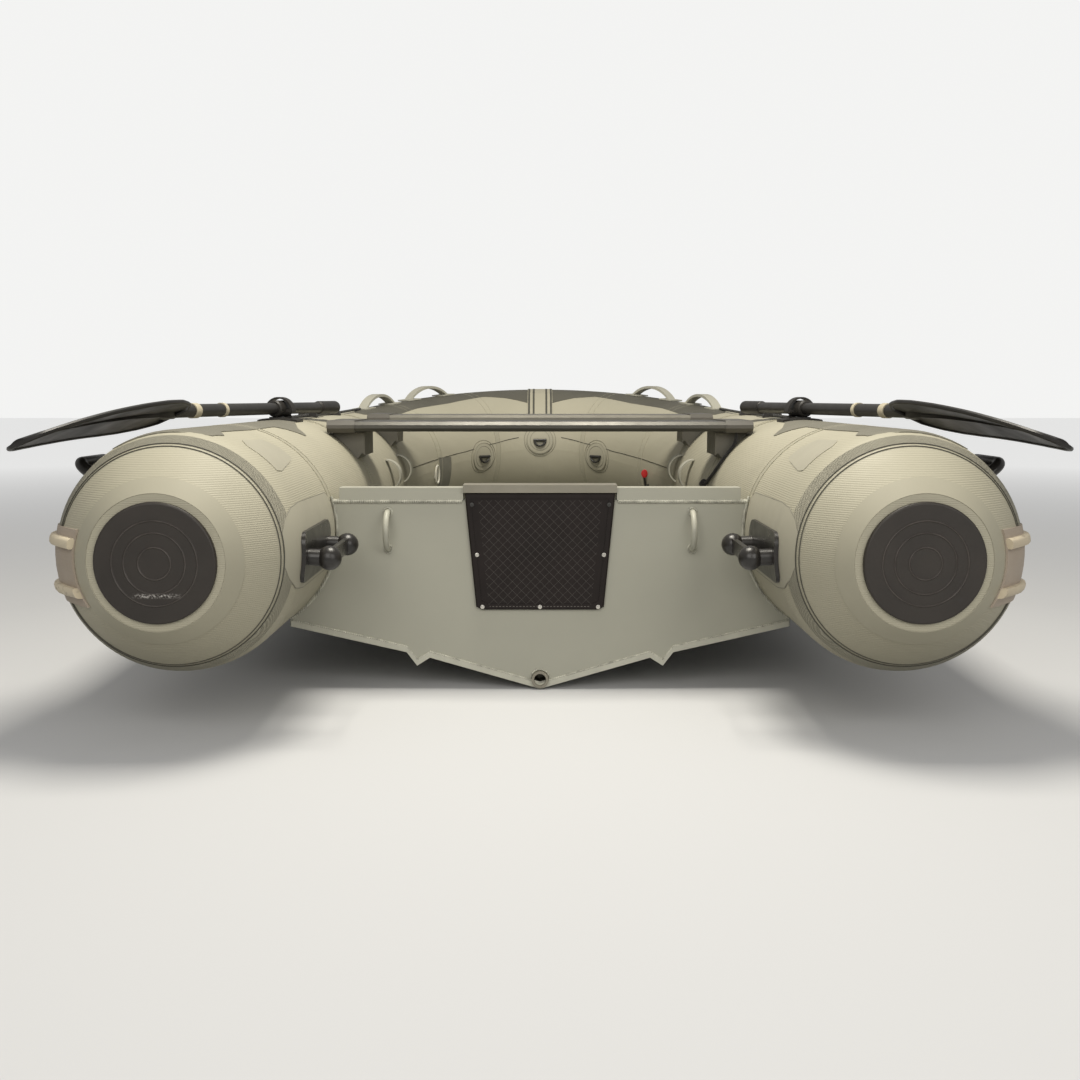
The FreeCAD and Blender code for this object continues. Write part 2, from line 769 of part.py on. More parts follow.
def seat(label, startY, raiseExpression):
    board = doc.addObject("PartDesign::Body", label)
    outline = sketchOn(board, "YZ_Plane", label + "_section", polyline(seatSection(0)))
    plank = board.newObject("PartDesign::Pad", label + "_plank")
    plank.Profile = outline
    plank.Midplane = True
    plank.setExpression("Length", "Sizes.seatLength - 2 * Sizes.seatCapWall")
    grooves = []
    count = 5
    for index in range(count):
        middle = size("seatDepth") * ((index + 1) / (count + 1) - 1 / 2)
        half = size("seatGrooveWidth") / 2
        floor = size("seatThickness") - size("seatGrooveDepth")
        grooves += polyline([V(middle - half, floor, 0), V(middle + half, floor, 0),
                             V(middle + half, size("seatThickness") + half, 0),
                             V(middle - half, size("seatThickness") + half, 0)])
    cutSketch = sketchOn(board, "YZ_Plane", label + "_grooves", grooves)
    cut = board.newObject("PartDesign::Pocket", label + "_groove_cut")
    cut.Profile = cutSketch
    cut.Midplane = True
    cut.setExpression("Length", "Sizes.seatLength")
    where = V(0, size(startY) + size("seatDepth") / 2, 0)
    board.setExpression("Placement.Base.y", f"Sizes.{startY} + Sizes.seatDepth / 2")
    board.setExpression("Placement.Base.z",
                        f"Sizes.axisHeight + Sizes.seatBottom + {raiseExpression}")
    keep(label, board)
    lift = axisHeight + size("seatBottom") + (size("farSeatRaise") if "far" in label else 0)
    wall = size("seatCapWall")
    outer = Part.Face(Part.makePolygon([V(0, p.x, p.y) for p in seatSection(wall)
                                        + seatSection(wall)[:1]]))
    inner = Part.Face(Part.makePolygon([V(0, p.x, p.y) for p in seatSection(0)
                                        + seatSection(0)[:1]]))
    capLength = size("seatCapLength")
    cap = outer.extrude(across * capLength).cut(inner.extrude(across * (capLength - wall)))
    cap.translate(where + V(size("seatLength") / 2 - capLength, 0, lift))
    feature(label + "_caps", Part.makeCompound([cap, mirrored(cap)]))


seat("near_seat", "nearSeatY", "0")
seat("far_seat", "farSeatY", "Sizes.farSeatRaise")


# The seat brackets: moulded wedges glued to the tubes, which carry the seats' ends.
def seatBracket(startY, lift):
    top = axisHeight + size("seatBottom") - size("seatCapWall") + lift
    outer = size("seatLength") / 2 - size("bracketInset")
    middle = size(startY) + size("seatDepth") / 2
    block = Part.makeBox(size("bracketWidth"), size("bracketLength"), size("bracketDrop"),
                         V(outer - size("bracketWidth"), middle - size("bracketLength") / 2,
                           top - size("bracketDrop")))
    slope = Part.makeBox(size("bracketWidth"), size("bracketLength"), size("bracketDrop"),
                         V(0, middle - size("bracketLength") / 2, 0))
    slope.rotate(V(0, middle, 0), forward, -40)
    slope.translate(V(outer - size("bracketWidth"), 0, top - size("bracketDrop") * 2))
    return block.cut([sideSeat, bowSeat, slope])


starboardBrackets = [seatBracket("nearSeatY", 0), seatBracket("farSeatY", size("farSeatRaise"))]
pair("seat_brackets", Part.makeCompound(starboardBrackets))


# A pad that follows the tube's round: a block lengthwise along the tube, cut to a thin skin.
def tubePad(middleY, length, width, thickness, angle):
    gap = size("skinGap")
    skin = sideRod(tubeRadius + gap + thickness, middleY - length)
    skin = skin.cut(sideRod(tubeRadius + gap, middleY - length))
    block = Part.makeBox(length, width, tubeRadius * 2, V(-length / 2, -width / 2, 0))
    upright = [edge for edge in block.Edges
               if abs(edge.tangentAt(edge.FirstParameter).z) > 0.99]
    block = block.makeFillet(width * 0.25, upright)
    block.Placement = tubePlacement(middleY, angle, 0)
    return skin.common(block)


def tubePlacement(y, angle, reach):
    # Local x along the tube, local z out from its axis; angle 0 is outboard and 90 is up.
    turn = math.radians(angle)
    out = V(math.cos(turn), 0, math.sin(turn))
    side = out.cross(forward)
    matrix = FreeCAD.Matrix(0, side.x, out.x, tubeAxisX + out.x * reach,
                            1, side.y, out.y, y,
                            0, side.z, out.z, axisHeight + out.z * reach,
                            0, 0, 0, 1)
    return FreeCAD.Placement(matrix)


# The tow handles on the inner stern of the tubes: two ball bosses on a pad, with a strap.
def sternHandle():
    aft = -size("sternHandleAft")
    ahead = -size("sternHandleForward")
    middle = (aft + ahead) / 2
    length = ahead - aft
    bossRadius = size("sternBossRadius")
    angle = 183
    base = size("skinGap") + size("sternPadThickness") / 2
    pad = tubePad(middle, length, size("sternPadHeight"), size("sternPadThickness"), angle)
    reach = size("sternBossReach")
    inset = length / 2 - bossRadius * 1.35
    parts = []
    for along in (-inset, inset):
        neck = Part.makeCylinder(size("sternBossNeck"), reach - base, V(along, 0, base), up)
        ball = Part.makeSphere(bossRadius, V(along, 0, reach))
        parts += [neck, ball]
    strap = Part.makeBox(2 * inset, size("sternStrapWidth"), size("sternStrapThickness"),
                         V(-inset, -size("sternStrapWidth") / 2,
                           reach - size("sternStrapThickness") / 2))
    parts.append(strap)
    for part in parts:
        part.Placement = tubePlacement(middle, angle, tubeRadius).multiply(part.Placement)
    return pad.fuse(parts).removeSplitter()


pair("stern_handle", sternHandle())


# A round grip bent down to a pad at each end.
def bentGrip(length, reach, radius):
    bend = reach * 0.6
    foot = size("skinGap") + size("carryPadThickness") / 2
    half = length / 2
    slant = V(half, 0, foot)
    knee = V(half, 0, reach - bend)
    corner = V(half - bend * (1 - math.sqrt(0.5)), 0, reach - bend * (1 - math.sqrt(0.5)))
    top = V(half - bend, 0, reach)

    def flip(point):
        return V(-point.x, point.y, point.z)

    route = Part.Wire([line(slant, knee), arc(knee, corner, top), line(top, flip(top)),
                       arc(flip(top), flip(corner), flip(knee)), line(flip(knee), flip(slant))])
    return route.makePipeShell([Part.Wire([Part.makeCircle(radius, slant, up)])], True, True)


def carryHandle():
    aft = -size("carryHandleAft")
    ahead = -size("carryHandleForward")
    middle = (aft + ahead) / 2
    length = ahead - aft
    angle = size("carryHandleAngle")
    padWidth = size("carryPadWidth")
    gripLength = length - padWidth
    grip = bentGrip(gripLength, size("carryHandleReach"), size("carryGripRadius"))
    grip.Placement = tubePlacement(middle, angle, tubeRadius)
    pads = [tubePad(middle + side * gripLength / 2, padWidth, padWidth,
                    size("carryPadThickness"), angle) for side in (-1, 1)]
    return grip.fuse(pads)


pair("carry_handle", carryHandle())


# The grab handles on the bow: an arched strap between two feet, square to the collar's round.
def grabHandle(turn):
    half = size("grabLength") / 2
    rise = size("grabRise")
    foot = size("grabPadLength") / 2
    thick = size("grabStrapThickness")
    outer = Part.Arc(V(-half, 0, 0), V(0, 0, rise), V(half, 0, 0)).toShape()
    inner = Part.Arc(V(-half + thick, 0, 0), V(0, 0, rise - thick), V(half - thick, 0, 0))
    arch = face([outer, inner.toShape(), line(V(-half, 0, 0), V(-half + thick, 0, 0)),
                 line(V(half, 0, 0), V(half - thick, 0, 0))])
    width = size("grabStrapWidth")
    arch = arch.extrude(forward * width)
    arch.translate(forward * (-width / 2))
    feet = [Part.makeBox(foot * 2, size("grabPadWidth"), size("grabPadThickness"),
                         V(side * (half - foot / 3) - foot, -size("grabPadWidth") / 2,
                           -size("grabPadThickness") / 2)) for side in (-1, 1)]
    handle = arch.fuse(feet)
    ahead = axisAt(turn + 1) - axisAt(turn - 1)
    ahead.normalize()
    top = up - ahead * up.dot(ahead)
    top.normalize()
    side = top.cross(ahead)
    point = axisAt(turn) + top * (tubeRadius + size("grabPadThickness") / 2)
    handle.Placement = FreeCAD.Placement(FreeCAD.Matrix(
        ahead.x, side.x, top.x, point.x, ahead.y, side.y, top.y, point.y,
        ahead.z, side.z, top.z, point.z, 0, 0, 0, 1))
    return handle.cut(bowSeat)


pair("grab_handle_aft", grabHandle(size("grabAftTurn")))
pair("grab_handle_forward", grabHandle(size("grabForwardTurn")))

# The rowlock base: a pad on the tube's crown with a boss and an upright pin.
oarZ = axisHeight + size("oarHeight")
pinHoleRadius = size("pinRadius") + size("pinRunningGap")
bossTop = oarZ - size("collarRadius") - size("rowlockGap")
crown = axisHeight + tubeRadius
pinTop = oarZ + size("oarShaftRadius") + size("rowlockGap")
pinFoot = V(tubeAxisX, size("rowlockY"), crown)
rowlockBase = tubePad(size("rowlockY"), size("rowlockBaseLength"), size("rowlockBaseWidth"),
                      size("rowlockBaseRise"), 90)
boss = Part.makeCylinder(size("rowlockBossRadius"), bossTop - crown, pinFoot, up)
pin = Part.makeCylinder(size("pinRadius"), pinTop - crown, pinFoot, up)
pinCap = Part.makeCylinder(size("pinCapRadius"), size("pinCapThickness"),
                           V(pinFoot.x, pinFoot.y, pinTop), up)
rowlockBase = rowlockBase.fuse([boss.cut(sideRod(tubeRadius + size("skinGap"), 0)), pin, pinCap])
pair("rowlock_base", rowlockBase)

# The oar is drawn along its own x, blade end positive, with the pin's axis at the origin, and
# then turned to lie aft along the tube.
oarPlace = FreeCAD.Placement(V(tubeAxisX, size("rowlockY"), oarZ),
                             FreeCAD.Rotation(up, -90 + size("oarToe")))
shaftRadius = size("oarShaftRadius")
pinHole = Part.makeCylinder(pinHoleRadius, 4 * size("collarRadius"),
                            V(0, 0, -2 * size("collarRadius")), up)


def turned(radius, start, length):
    return Part.makeCylinder(radius, length, V(start, 0, 0), across)


def placedOnOar(shape):
    shape.Placement = oarPlace.multiply(shape.Placement)
    return shape


collar = turned(size("collarRadius"), -size("collarLength") / 2, size("collarLength"))
collarEdges = [edge for edge in collar.Edges if isinstance(edge.Curve, Part.Circle)]
collar = collar.makeChamfer(size("collarRadius") * 0.15, collarEdges)
archRadius = size("archRadius")
archWidth = size("archWidth")
archCentre = V(-archWidth / 2, 0, -size("archDrop"))
hoop = Part.makeCylinder(archRadius, archWidth, archCentre, across).cut([
    Part.makeCylinder(archRadius - size("archThickness"), archWidth, archCentre, across),
    Part.makeBox(archWidth, 2 * archRadius, archRadius, archCentre - V(0, archRadius, archRadius))])
footInner = (size("collarRadius") + shaftRadius) / 2
footOuter = archRadius - size("archThickness") / 2
feet = [Part.makeBox(archWidth, footOuter - footInner, size("archFootHeight"),
                     archCentre + V(0, start, 0)) for start in (footInner, -footOuter)]
capRecess = Part.makeCylinder(size("pinCapRadius") + size("rowlockGap"), size("collarRadius"),
                              up * (shaftRadius - size("capRecessSink")), up)
holes = [turned(shaftRadius, -size("collarLength"), 2 * size("collarLength")), pinHole]
collar = collar.cut(holes + [capRecess]).fuse([hoop] + feet)
pair("rowlock_collar", placedOnOar(collar))

shaftStart = -size("oarInboard")
shaft = turned(shaftRadius, shaftStart, size("bladeRoot") - shaftStart)
pair("oar_shaft", placedOnOar(shaft.cut(pinHole)))

gripStart = shaftStart - size("gripLength") * 0.15
grip = turned(size("gripRadius"), gripStart, size("gripLength"))
gripEdges = [edge for edge in grip.Edges if isinstance(edge.Curve, Part.Circle)]
grip = grip.makeFillet(size("gripRadius") * 0.4, gripEdges)
grip = grip.cut(turned(shaftRadius, shaftStart, size("oarInboard")))
pair("oar_grip", placedOnOar(grip))

bandRadius = shaftRadius + size("bandWall")
rings = []
for along, length in (("ringAlong", "ringLength"), ("bandAlong", "bandLength")):
    ring = turned(bandRadius, size(along), size(length))
    rings.append(placedOnOar(ring.cut(turned(shaftRadius, size(along), size(length)))))
pair("oar_bands", Part.makeCompound(rings))

# The blade: thin, with a rib down its middle, narrow at the root and rounded at the tip. Each
# station gives a share of the length, of the width, of the rib and of the droop.
bladeShares = [(0.0, 0.19, 1.0, 0.0), (0.06, 0.24, 1.0, 0.0), (0.2, 0.66, 0.82, 0.02),
               (0.36, 0.92, 0.6, 0.1), (0.56, 1.0, 0.42, 0.3), (0.78, 0.98, 0.28, 0.6),
               (0.92, 0.84, 0.22, 0.86), (0.98, 0.56, 0.2, 0.96), (1.0, 0.3, 0.2, 1.0)]


def bladeSection(lengthShare, widthShare, ribShare, droopShare):
    x = size("bladeRoot") + lengthShare * size("bladeLength")
    half = widthShare * size("bladeWidth") / 2
    thick = size("bladeThickness") / 2
    rib = max(ribShare * size("bladeRib"), thick)
    ribHalf = min(rib, half * 0.6)
    drop = -droopShare * size("bladeDroop")
    return Part.makePolygon([V(x, y, z + drop) for y, z in (
        (-half, -thick * 0.6), (-ribHalf, -thick), (0, -rib), (ribHalf, -thick),
        (half, -thick * 0.6), (half, thick * 0.6), (ribHalf, thick), (0, rib), (-ribHalf, thick),
        (-half, thick * 0.6), (-half, -thick * 0.6))])


blade = Part.makeLoft([bladeSection(*shares) for shares in bladeShares], True, True)
blade.rotate(origin, across, size("bladeTilt"))
blade = blade.cut(turned(shaftRadius, 0, size("bladeRoot")))
pair("oar_blade", placedOnOar(blade))


# Webbing loops on the inner sides of the tubes: a bowed band standing up and down.
def strapLoop(y):
    half = size("loopHeight") / 2
    reach = size("loopReach")
    thick = size("loopThickness")
    outer = Part.Arc(V(0, -half, 0), V(0, 0, reach), V(0, half, 0)).toShape()
    inner = Part.Arc(V(0, -half + thick, 0), V(0, 0, reach - thick), V(0, half - thick, 0))
    band = face([outer, inner.toShape(), line(V(0, -half, 0), V(0, -half + thick, 0)),
                 line(V(0, half, 0), V(0, half - thick, 0))])
    band = band.extrude(across * size("loopWidth"))
    band.translate(across * (-size("loopWidth") / 2))
    angle = 180 - math.degrees(math.asin(size("loopRaise") / tubeRadius))
    sag = tubeRadius - math.sqrt(tubeRadius ** 2 - half ** 2)
    deep = Part.makeBox(size("loopWidth"), thick, sag + thick,
                        V(-size("loopWidth") / 2, half - thick, -sag - thick))
    other = deep.mirror(origin, forward)
    loop = band.fuse([deep, other])
    loop.Placement = tubePlacement(y, angle, tubeRadius)
    return loop.cut(sideSeat)


pair("strap_loops", Part.makeCompound([strapLoop(size("loopAftY")),
                                       strapLoop(size("loopForwardY"))]))


# D rings on round patches inside the bow.
def ringFrame(turn, lift):
    angle = math.radians(turn)
    inward = V(-math.cos(angle), -math.sin(angle), 0)
    centre = axisAt(turn)
    tilt = math.asin(lift / tubeRadius)
    out = inward * math.cos(tilt) + up * math.sin(tilt)
    side = V(-inward.y, inward.x, 0)
    high = out.cross(side)
    if high.z < 0:
        high = high * -1
        side = side * -1
    point = centre + out * tubeRadius
    return FreeCAD.Placement(FreeCAD.Matrix(
        side.x, high.x, out.x, point.x, side.y, high.y, out.y, point.y,
        side.z, high.z, out.z, point.z, 0, 0, 0, 1))


def ringPatch(turn, lift):
    plug = Part.makeCylinder(size("ringPatchRadius"), tubeRadius, up * (-tubeRadius / 2), up)
    plug.Placement = ringFrame(turn, lift)
    inBow = math.radians(turn) > sideTurn
    radius = bowRadius if inBow else sideRadius
    middle = V(0, bowCentreY, 0) if inBow else V(tubeAxisX - sideRadius, straightEnd, 0)
    middle.z = axisAt(turn).z
    inner = tubeRadius + size("tubeSeatGap")
    return plug.common(Part.makeTorus(radius, inner + size("ringPatchThickness"), middle)).cut(
        Part.makeTorus(radius, inner, middle))


def dRing(turn, lift):
    wire = size("ringWireRadius")
    barRadius = size("ringBarRadius")
    radius = size("ringOpening") + wire
    lowZ = size("ringBarLift") + size("ringPatchThickness") + barRadius
    hoop = Part.makeTorus(radius, wire, V(0, 0, lowZ), up, -180, 180, 180)
    hoop.rotate(V(0, 0, lowZ), up, 180)
    reach = radius + wire
    bar = Part.makeCylinder(barRadius, 2 * reach, V(-reach, 0, lowZ), across)
    ring = hoop.fuse(bar)
    ring.Placement = ringFrame(turn, lift)
    return ring


ringPlaces = [(90, size("ringRaise")), (size("ringSideTurn"), 0)]
patches = [ringPatch(turn, lift) for turn, lift in ringPlaces]
rings = [dRing(turn, lift) for turn, lift in ringPlaces]
feature("ring_patches", Part.makeCompound(patches + [mirrored(patches[1])]))
feature("d_rings", Part.makeCompound(rings + [mirrored(rings[1])]))

# The patch down the middle of the bow, over the crown and down both faces of the collar.
outerSkin = Part.makeTorus(bowRadius, tubeRadius + size("skinGap") + size("bowPatchThickness"))
patchSkin = outerSkin.cut(Part.makeTorus(bowRadius, tubeRadius + size("skinGap")))
patchSkin.translate(V(0, bowCentreY, axisAt(90).z))
patchBlock = Part.makeBox(size("bowPatchWidth"), 2 * tubeRadius + bowRadius, 2 * tubeRadius,
                          V(-size("bowPatchWidth") / 2, bowCentreY,
                            axisAt(90).z + tubeRadius * 0.42))
feature("bow_patch", patchSkin.common(patchBlock))

# Moulded half round fittings on the tubes' crowns, for the lifelines.
def lineFitting(y):
    radius = size("fittingRadius")
    width = size("fittingWidth")
    half = Part.makeCylinder(radius, width, V(-width / 2, 0, 0), across)
    hole = Part.makeCylinder(size("lineRadius") + size("lineClearance"), width,
                             V(-width / 2, 0, size("lineLift")), across)
    fitting = half.cut(hole)
    fitting.Placement = tubePlacement(y, 90, tubeRadius)
    return fitting.cut(sideSeat)


fittings = [lineFitting(size("fittingAftY")), lineFitting(size("fittingForwardY"))]
pair("line_fittings", Part.makeCompound(fittings))



# A rope pulled tight along each tube, from the rowlock through the fittings to the first grab
# handle. Its one turn is at the forward fitting.
lineRadius = size("lineRadius")
lineLift = tubeRadius + size("lineLift")
lineStart = V(tubeAxisX, size("rowlockY") + size("rowlockBaseLength") / 2 + size("lineStartGap"),
              axisHeight + lineLift)
lineTurn = V(tubeAxisX, size("fittingForwardY") + size("fittingWidth"), axisHeight + lineLift)
lineEnd = axisAt(size("lineEndTurn")) + up * lineLift


def ropeAlong(points, radius, bends):
    # Straight runs joined by tangent arcs, one radius for each inner point.
    edges = []
    start = points[0]
    for before, corner, after, bend in zip(points, points[1:], points[2:], bends):
        back = before - corner
        back.normalize()
        ahead = after - corner
        ahead.normalize()
        halfTurn = (math.pi - back.getAngle(ahead)) / 2
        cut = bend * math.tan(halfTurn)
        inner = back + ahead
        inner.normalize()
        middle = corner + inner * (bend / math.cos(halfTurn) - bend)
        edges.append(line(start, corner + back * cut))
        edges.append(arc(corner + back * cut, middle, corner + ahead * cut))
        start = corner + ahead * cut
    edges.append(line(start, points[-1]))
    route = Part.Wire(edges)
    first = points[1] - points[0]
    rope = route.makePipeShell([Part.Wire([Part.makeCircle(radius, points[0], first)])],
                               True, True)
    print("rope", round(route.Length), "mm, radii", [round(bend) for bend in bends],
          "volume over section times length",
          round(rope.Volume / (math.pi * radius ** 2 * route.Length), 4))
    return rope


def easyBends(points):
    # Each arc is as large as its two runs allow.
    bends = []
    for before, corner, after in zip(points, points[1:], points[2:]):
        shorter = min((before - corner).Length, (after - corner).Length)
        turn = math.pi - (before - corner).getAngle(after - corner)
        bends.append(size("arcShare") * shorter / math.tan(turn / 2))
    return bends


pair("lifeline", ropeAlong([lineStart, lineTurn, lineEnd], lineRadius, [size("lineBend")]))


# The rope under the near seat's starboard end hangs down the tube's inner face and forward.
def besideTube(angle, y, reach):
    turn = math.radians(angle)
    return V(tubeAxisX - reach * math.cos(turn), y, axisHeight + reach * math.sin(turn))


ropeRadius = size("ropeRadius")
ropeReach = tubeRadius + size("ropeClear") + ropeRadius
ropeSpread = size("ropeForwardSpread")
ropeTop = axisHeight + size("seatBottom") - size("seatCapWall") - size("skinGap")
ropeY = size("nearSeatY") + size("ropeFromEdge")
ropeWay = [besideTube(angle, ropeY + share * ropeSpread, ropeReach) for angle, share in ropeShares]
ropeWay.insert(0, V(ropeWay[0].x, ropeWay[0].y, ropeTop))
feature("seat_rope", ropeAlong(ropeWay, ropeRadius, easyBends(ropeWay)))
knotRadius = size("ropeKnotRadius")
last = ropeWay[-1] - ropeWay[-2]
last.normalize()
knot = Part.makeCylinder(knotRadius, 2 * knotRadius, ropeWay[-1], last)
knot = knot.makeFillet(size("ropeKnotRound"), [edge for edge in knot.Edges
                                               if isinstance(edge.Curve, Part.Circle)])
outward = V(ropeWay[-1].x - tubeAxisX, 0, ropeWay[-1].z - axisHeight)
outward.normalize()
knot.translate(outward * (knotRadius - ropeRadius))
feature("seat_rope_knot", knot)

doc.recompute()
bad = [item.Name for item in doc.Objects if {"Invalid", "Error"} & set(item.State)]
bad += [label for label, item in nodes.items()
        if item.Shape.isNull() or not item.Shape.isValid() or not item.Shape.Solids]
if bad:
    raise RuntimeError("these did not build: " + ", ".join(bad))
os.makedirs("parts", exist_ok=True)
for label, item in nodes.items():
    item.Shape.exportStep(f"parts/{label}.step")
print(len(nodes), "nodes")
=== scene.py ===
import math
import bpy
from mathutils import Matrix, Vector


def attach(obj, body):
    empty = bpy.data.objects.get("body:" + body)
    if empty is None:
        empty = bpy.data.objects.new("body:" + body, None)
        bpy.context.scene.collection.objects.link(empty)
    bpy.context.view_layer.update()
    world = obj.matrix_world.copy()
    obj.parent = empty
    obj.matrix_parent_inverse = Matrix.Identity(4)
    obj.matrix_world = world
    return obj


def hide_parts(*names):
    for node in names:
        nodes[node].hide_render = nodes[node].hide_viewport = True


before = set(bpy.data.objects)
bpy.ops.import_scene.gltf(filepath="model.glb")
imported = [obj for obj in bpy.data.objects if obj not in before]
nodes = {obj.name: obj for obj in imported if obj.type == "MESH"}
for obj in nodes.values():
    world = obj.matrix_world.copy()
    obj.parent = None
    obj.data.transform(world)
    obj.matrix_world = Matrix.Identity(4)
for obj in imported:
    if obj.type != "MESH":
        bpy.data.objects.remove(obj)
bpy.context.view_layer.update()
sides = {"starboard": 1, "port": -1}

# The camera stands behind the stern and looks a little down, as in the photograph.
cameraPlace = {"eye": (0.0, -2.486, 0.476), "lookDown": 6.79, "widthAngle": 47.8}
bpy.ops.object.camera_add(location=cameraPlace["eye"],
                          rotation=(math.radians(90 - cameraPlace["lookDown"]), 0, 0))
camera = bpy.context.active_object
camera.data.angle = math.radians(cameraPlace["widthAngle"])
camera.data.clip_end = 60
bpy.context.scene.camera = camera
print("camera placed")

# The collar's own shape, which the marks, seams and patches follow. Lengths are in metres,
# turns in degrees.
collar = {"radius": 0.215, "axisX": 0.635, "axisZ": 0.2, "straightEnd": 1.35,
          "parallelAft": -0.331, "shoulder": 0.129, "shoulderTurn": 35.5, "cone": 0.549,
          "coneTurn": 12.0, "sideTurn": 50.0, "bowRadius": 0.45, "rise": 0.08}
sideTurn = math.radians(collar["sideTurn"])
sideRadius = ((collar["axisX"] - collar["bowRadius"] * math.cos(sideTurn))
              / (1 - math.cos(sideTurn)))
bowCentreY = collar["straightEnd"] + (sideRadius - collar["bowRadius"]) * math.sin(sideTurn)
sideRun = sideRadius * sideTurn
bowRun = sideRun + collar["bowRadius"] * (math.pi / 2 - sideTurn)
shoulderRun = collar["shoulder"] * math.radians(collar["shoulderTurn"])
coneRun = collar["cone"] * math.radians(collar["coneTurn"])


def linked(name, data):
    piece = bpy.data.objects.new(name, data)
    bpy.context.scene.collection.objects.link(piece)
    return piece


def curveAlong(name, splineType, points, radii, roundness):
    data = bpy.data.curves.new(name, "CURVE")
    data.dimensions = "3D"
    data.bevel_depth = 1  # each point's radius then sets the thickness
    data.bevel_resolution = roundness
    data.use_fill_caps = True
    spline = data.splines.new(splineType)
    spline.points.add(len(points) - 1)
    for point, place, radius in zip(spline.points, points, radii):
        point.co = (*place, 1)
        point.radius = radius
    return linked(name, data), spline


# The rope that hangs from the near seat's starboard end, down the tube's inner face.
seatRope = {
    "points": [(0.48287, 0.51572, 0.3837), (0.48287, 0.51572, 0.36031), (0.45967, 0.5097, 0.33454),
               (0.44078, 0.51658, 0.30545), (0.428, 0.54496, 0.2774), (0.42104, 0.6, 0.25533)],
    "diameter": 0.008,
    "length": 0.185,
}
rope, spline = curveAlong("seat_rope_line", "NURBS", seatRope["points"],
                          [seatRope["diameter"] / 2] * len(seatRope["points"]), 4)
spline.order_u = 3
spline.use_endpoint_u = True
spline.resolution_u = 12
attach(rope, "boat")
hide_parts("seat_rope")
print("rope laid")


# Materials. Each look is a colour with a second colour in patches, a range of roughness, and
# bumps of named kinds, all on Object coordinates.
def maths(tree, operation, first, second=None):
    node = tree.nodes.new("ShaderNodeMath")
    node.operation = operation
    for socket, value in zip(node.inputs, (first, second)):
        if isinstance(value, (int, float)):
            socket.default_value = value
        elif value is not None:
            tree.links.new(value, socket)
    return node.outputs[0]


def noiseOn(tree, place, scale, detail=3.0):
    node = tree.nodes.new("ShaderNodeTexNoise")
    node.inputs["Scale"].default_value = scale
    node.inputs["Detail"].default_value = detail
    tree.links.new(place, node.inputs["Vector"])
    return node.outputs["Fac"]


def spread(tree, value, low, high, toLow, toHigh):
    node = tree.nodes.new("ShaderNodeMapRange")
    tree.links.new(value, node.inputs["Value"])
    for key, number in (("From Min", low), ("From Max", high), ("To Min", toLow),
                        ("To Max", toHigh)):
        node.inputs[key].default_value = number
    return node.outputs["Result"]


def blended(tree, share, first, second):
    node = tree.nodes.new("ShaderNodeMix")
    node.data_type = "RGBA"
    tree.links.new(share, node.inputs[0])
    for socket, colour in ((node.inputs[6], first), (node.inputs[7], second)):
        if isinstance(colour, tuple):
            socket.default_value = (*colour, 1)
        else:
            tree.links.new(colour, socket)
    return node.outputs[2]


def parted(tree, place):
    node = tree.nodes.new("ShaderNodeSeparateXYZ")
    tree.links.new(place, node.inputs[0])
    return node.outputs["X"], node.outputs["Y"], node.outputs["Z"]


def stripes(tree, value, pitch):
    return maths(tree, "SINE", maths(tree, "MULTIPLY", value, 2 * math.pi / pitch))


def bumpHeight(tree, place, kind, pitch):
    x, y, z = parted(tree, place)
    if kind == "grain":
        return noiseOn(tree, place, 1 / pitch, 4.0)
    if kind == "weave":
        threads = [stripes(tree, maths(tree, way, maths(tree, way, x, y), z), pitch)
                   for way in ("ADD", "SUBTRACT")]
        return maths(tree, "MULTIPLY", *threads)
    ribbed = {"ribsAlongX": x, "ribsAlongY": y, "ribsAlongZ": z}
    if kind in ribbed:
        return stripes(tree, ribbed[kind], pitch)
    if kind == "braid":
        slant = 1.4
        threads = [stripes(tree, maths(tree, way, y, maths(tree, "MULTIPLY", across, slant)),
                           pitch) for way, across in (("ADD", x), ("SUBTRACT", z))]
        return maths(tree, "ADD", *threads)
    raise ValueError(kind)


# Thin rings and a scuff on the end caps, and the diamonds and the row of dashes on the pads.
capMarks = {"rings": [0.027, 0.051, 0.071], "ringHalf": 0.0016, "ringCore": 0.4,
            "ringClouds": 30.0, "ringWorn": (0.35, 0.65, 0.2, 0.75),
            "scuffX": -0.633, "scuffZ": 0.146, "scuffHalf": (0.043, 0.005),
            "scuffSoft": (0.02, 0.004), "scuffClouds": 260.0, "scuffWorn": (0.46, 0.6)}
padMarks = {"pitch": 0.038, "lineEdge": (0.04, 0.12), "widthAtZero": 0.102, "taper": 0.096,
            "middleZ": 0.155, "halfTall": 0.108, "soft": 0.001, "dashPitch": 0.007,
            "dashZ": 0.0432, "dashHalf": 0.0006, "dashSoft": 0.0002, "dashRun": 0.104,
            "dashEdge": (-0.2, 0.1)}


def reachOf(tree, across, up):
    return maths(tree, "SQRT", maths(tree, "ADD", maths(tree, "MULTIPLY", across, across),
                                     maths(tree, "MULTIPLY", up, up)))


def ringMask(tree, x, z, radius, half):
    # A thin ring about each tube's axis, on its end cap.
    across = maths(tree, "SUBTRACT", maths(tree, "ABSOLUTE", x), collar["axisX"])
    up = maths(tree, "SUBTRACT", z, collar["axisZ"])
    gap = maths(tree, "ABSOLUTE", maths(tree, "SUBTRACT", reachOf(tree, across, up), radius))
    return spread(tree, gap, half * capMarks["ringCore"], half, 1.0, 0.0)


def within(tree, value, centre, half, soft):
    gap = maths(tree, "ABSOLUTE", maths(tree, "SUBTRACT", value, centre))
    return spread(tree, gap, half - soft, half, 1.0, 0.0)


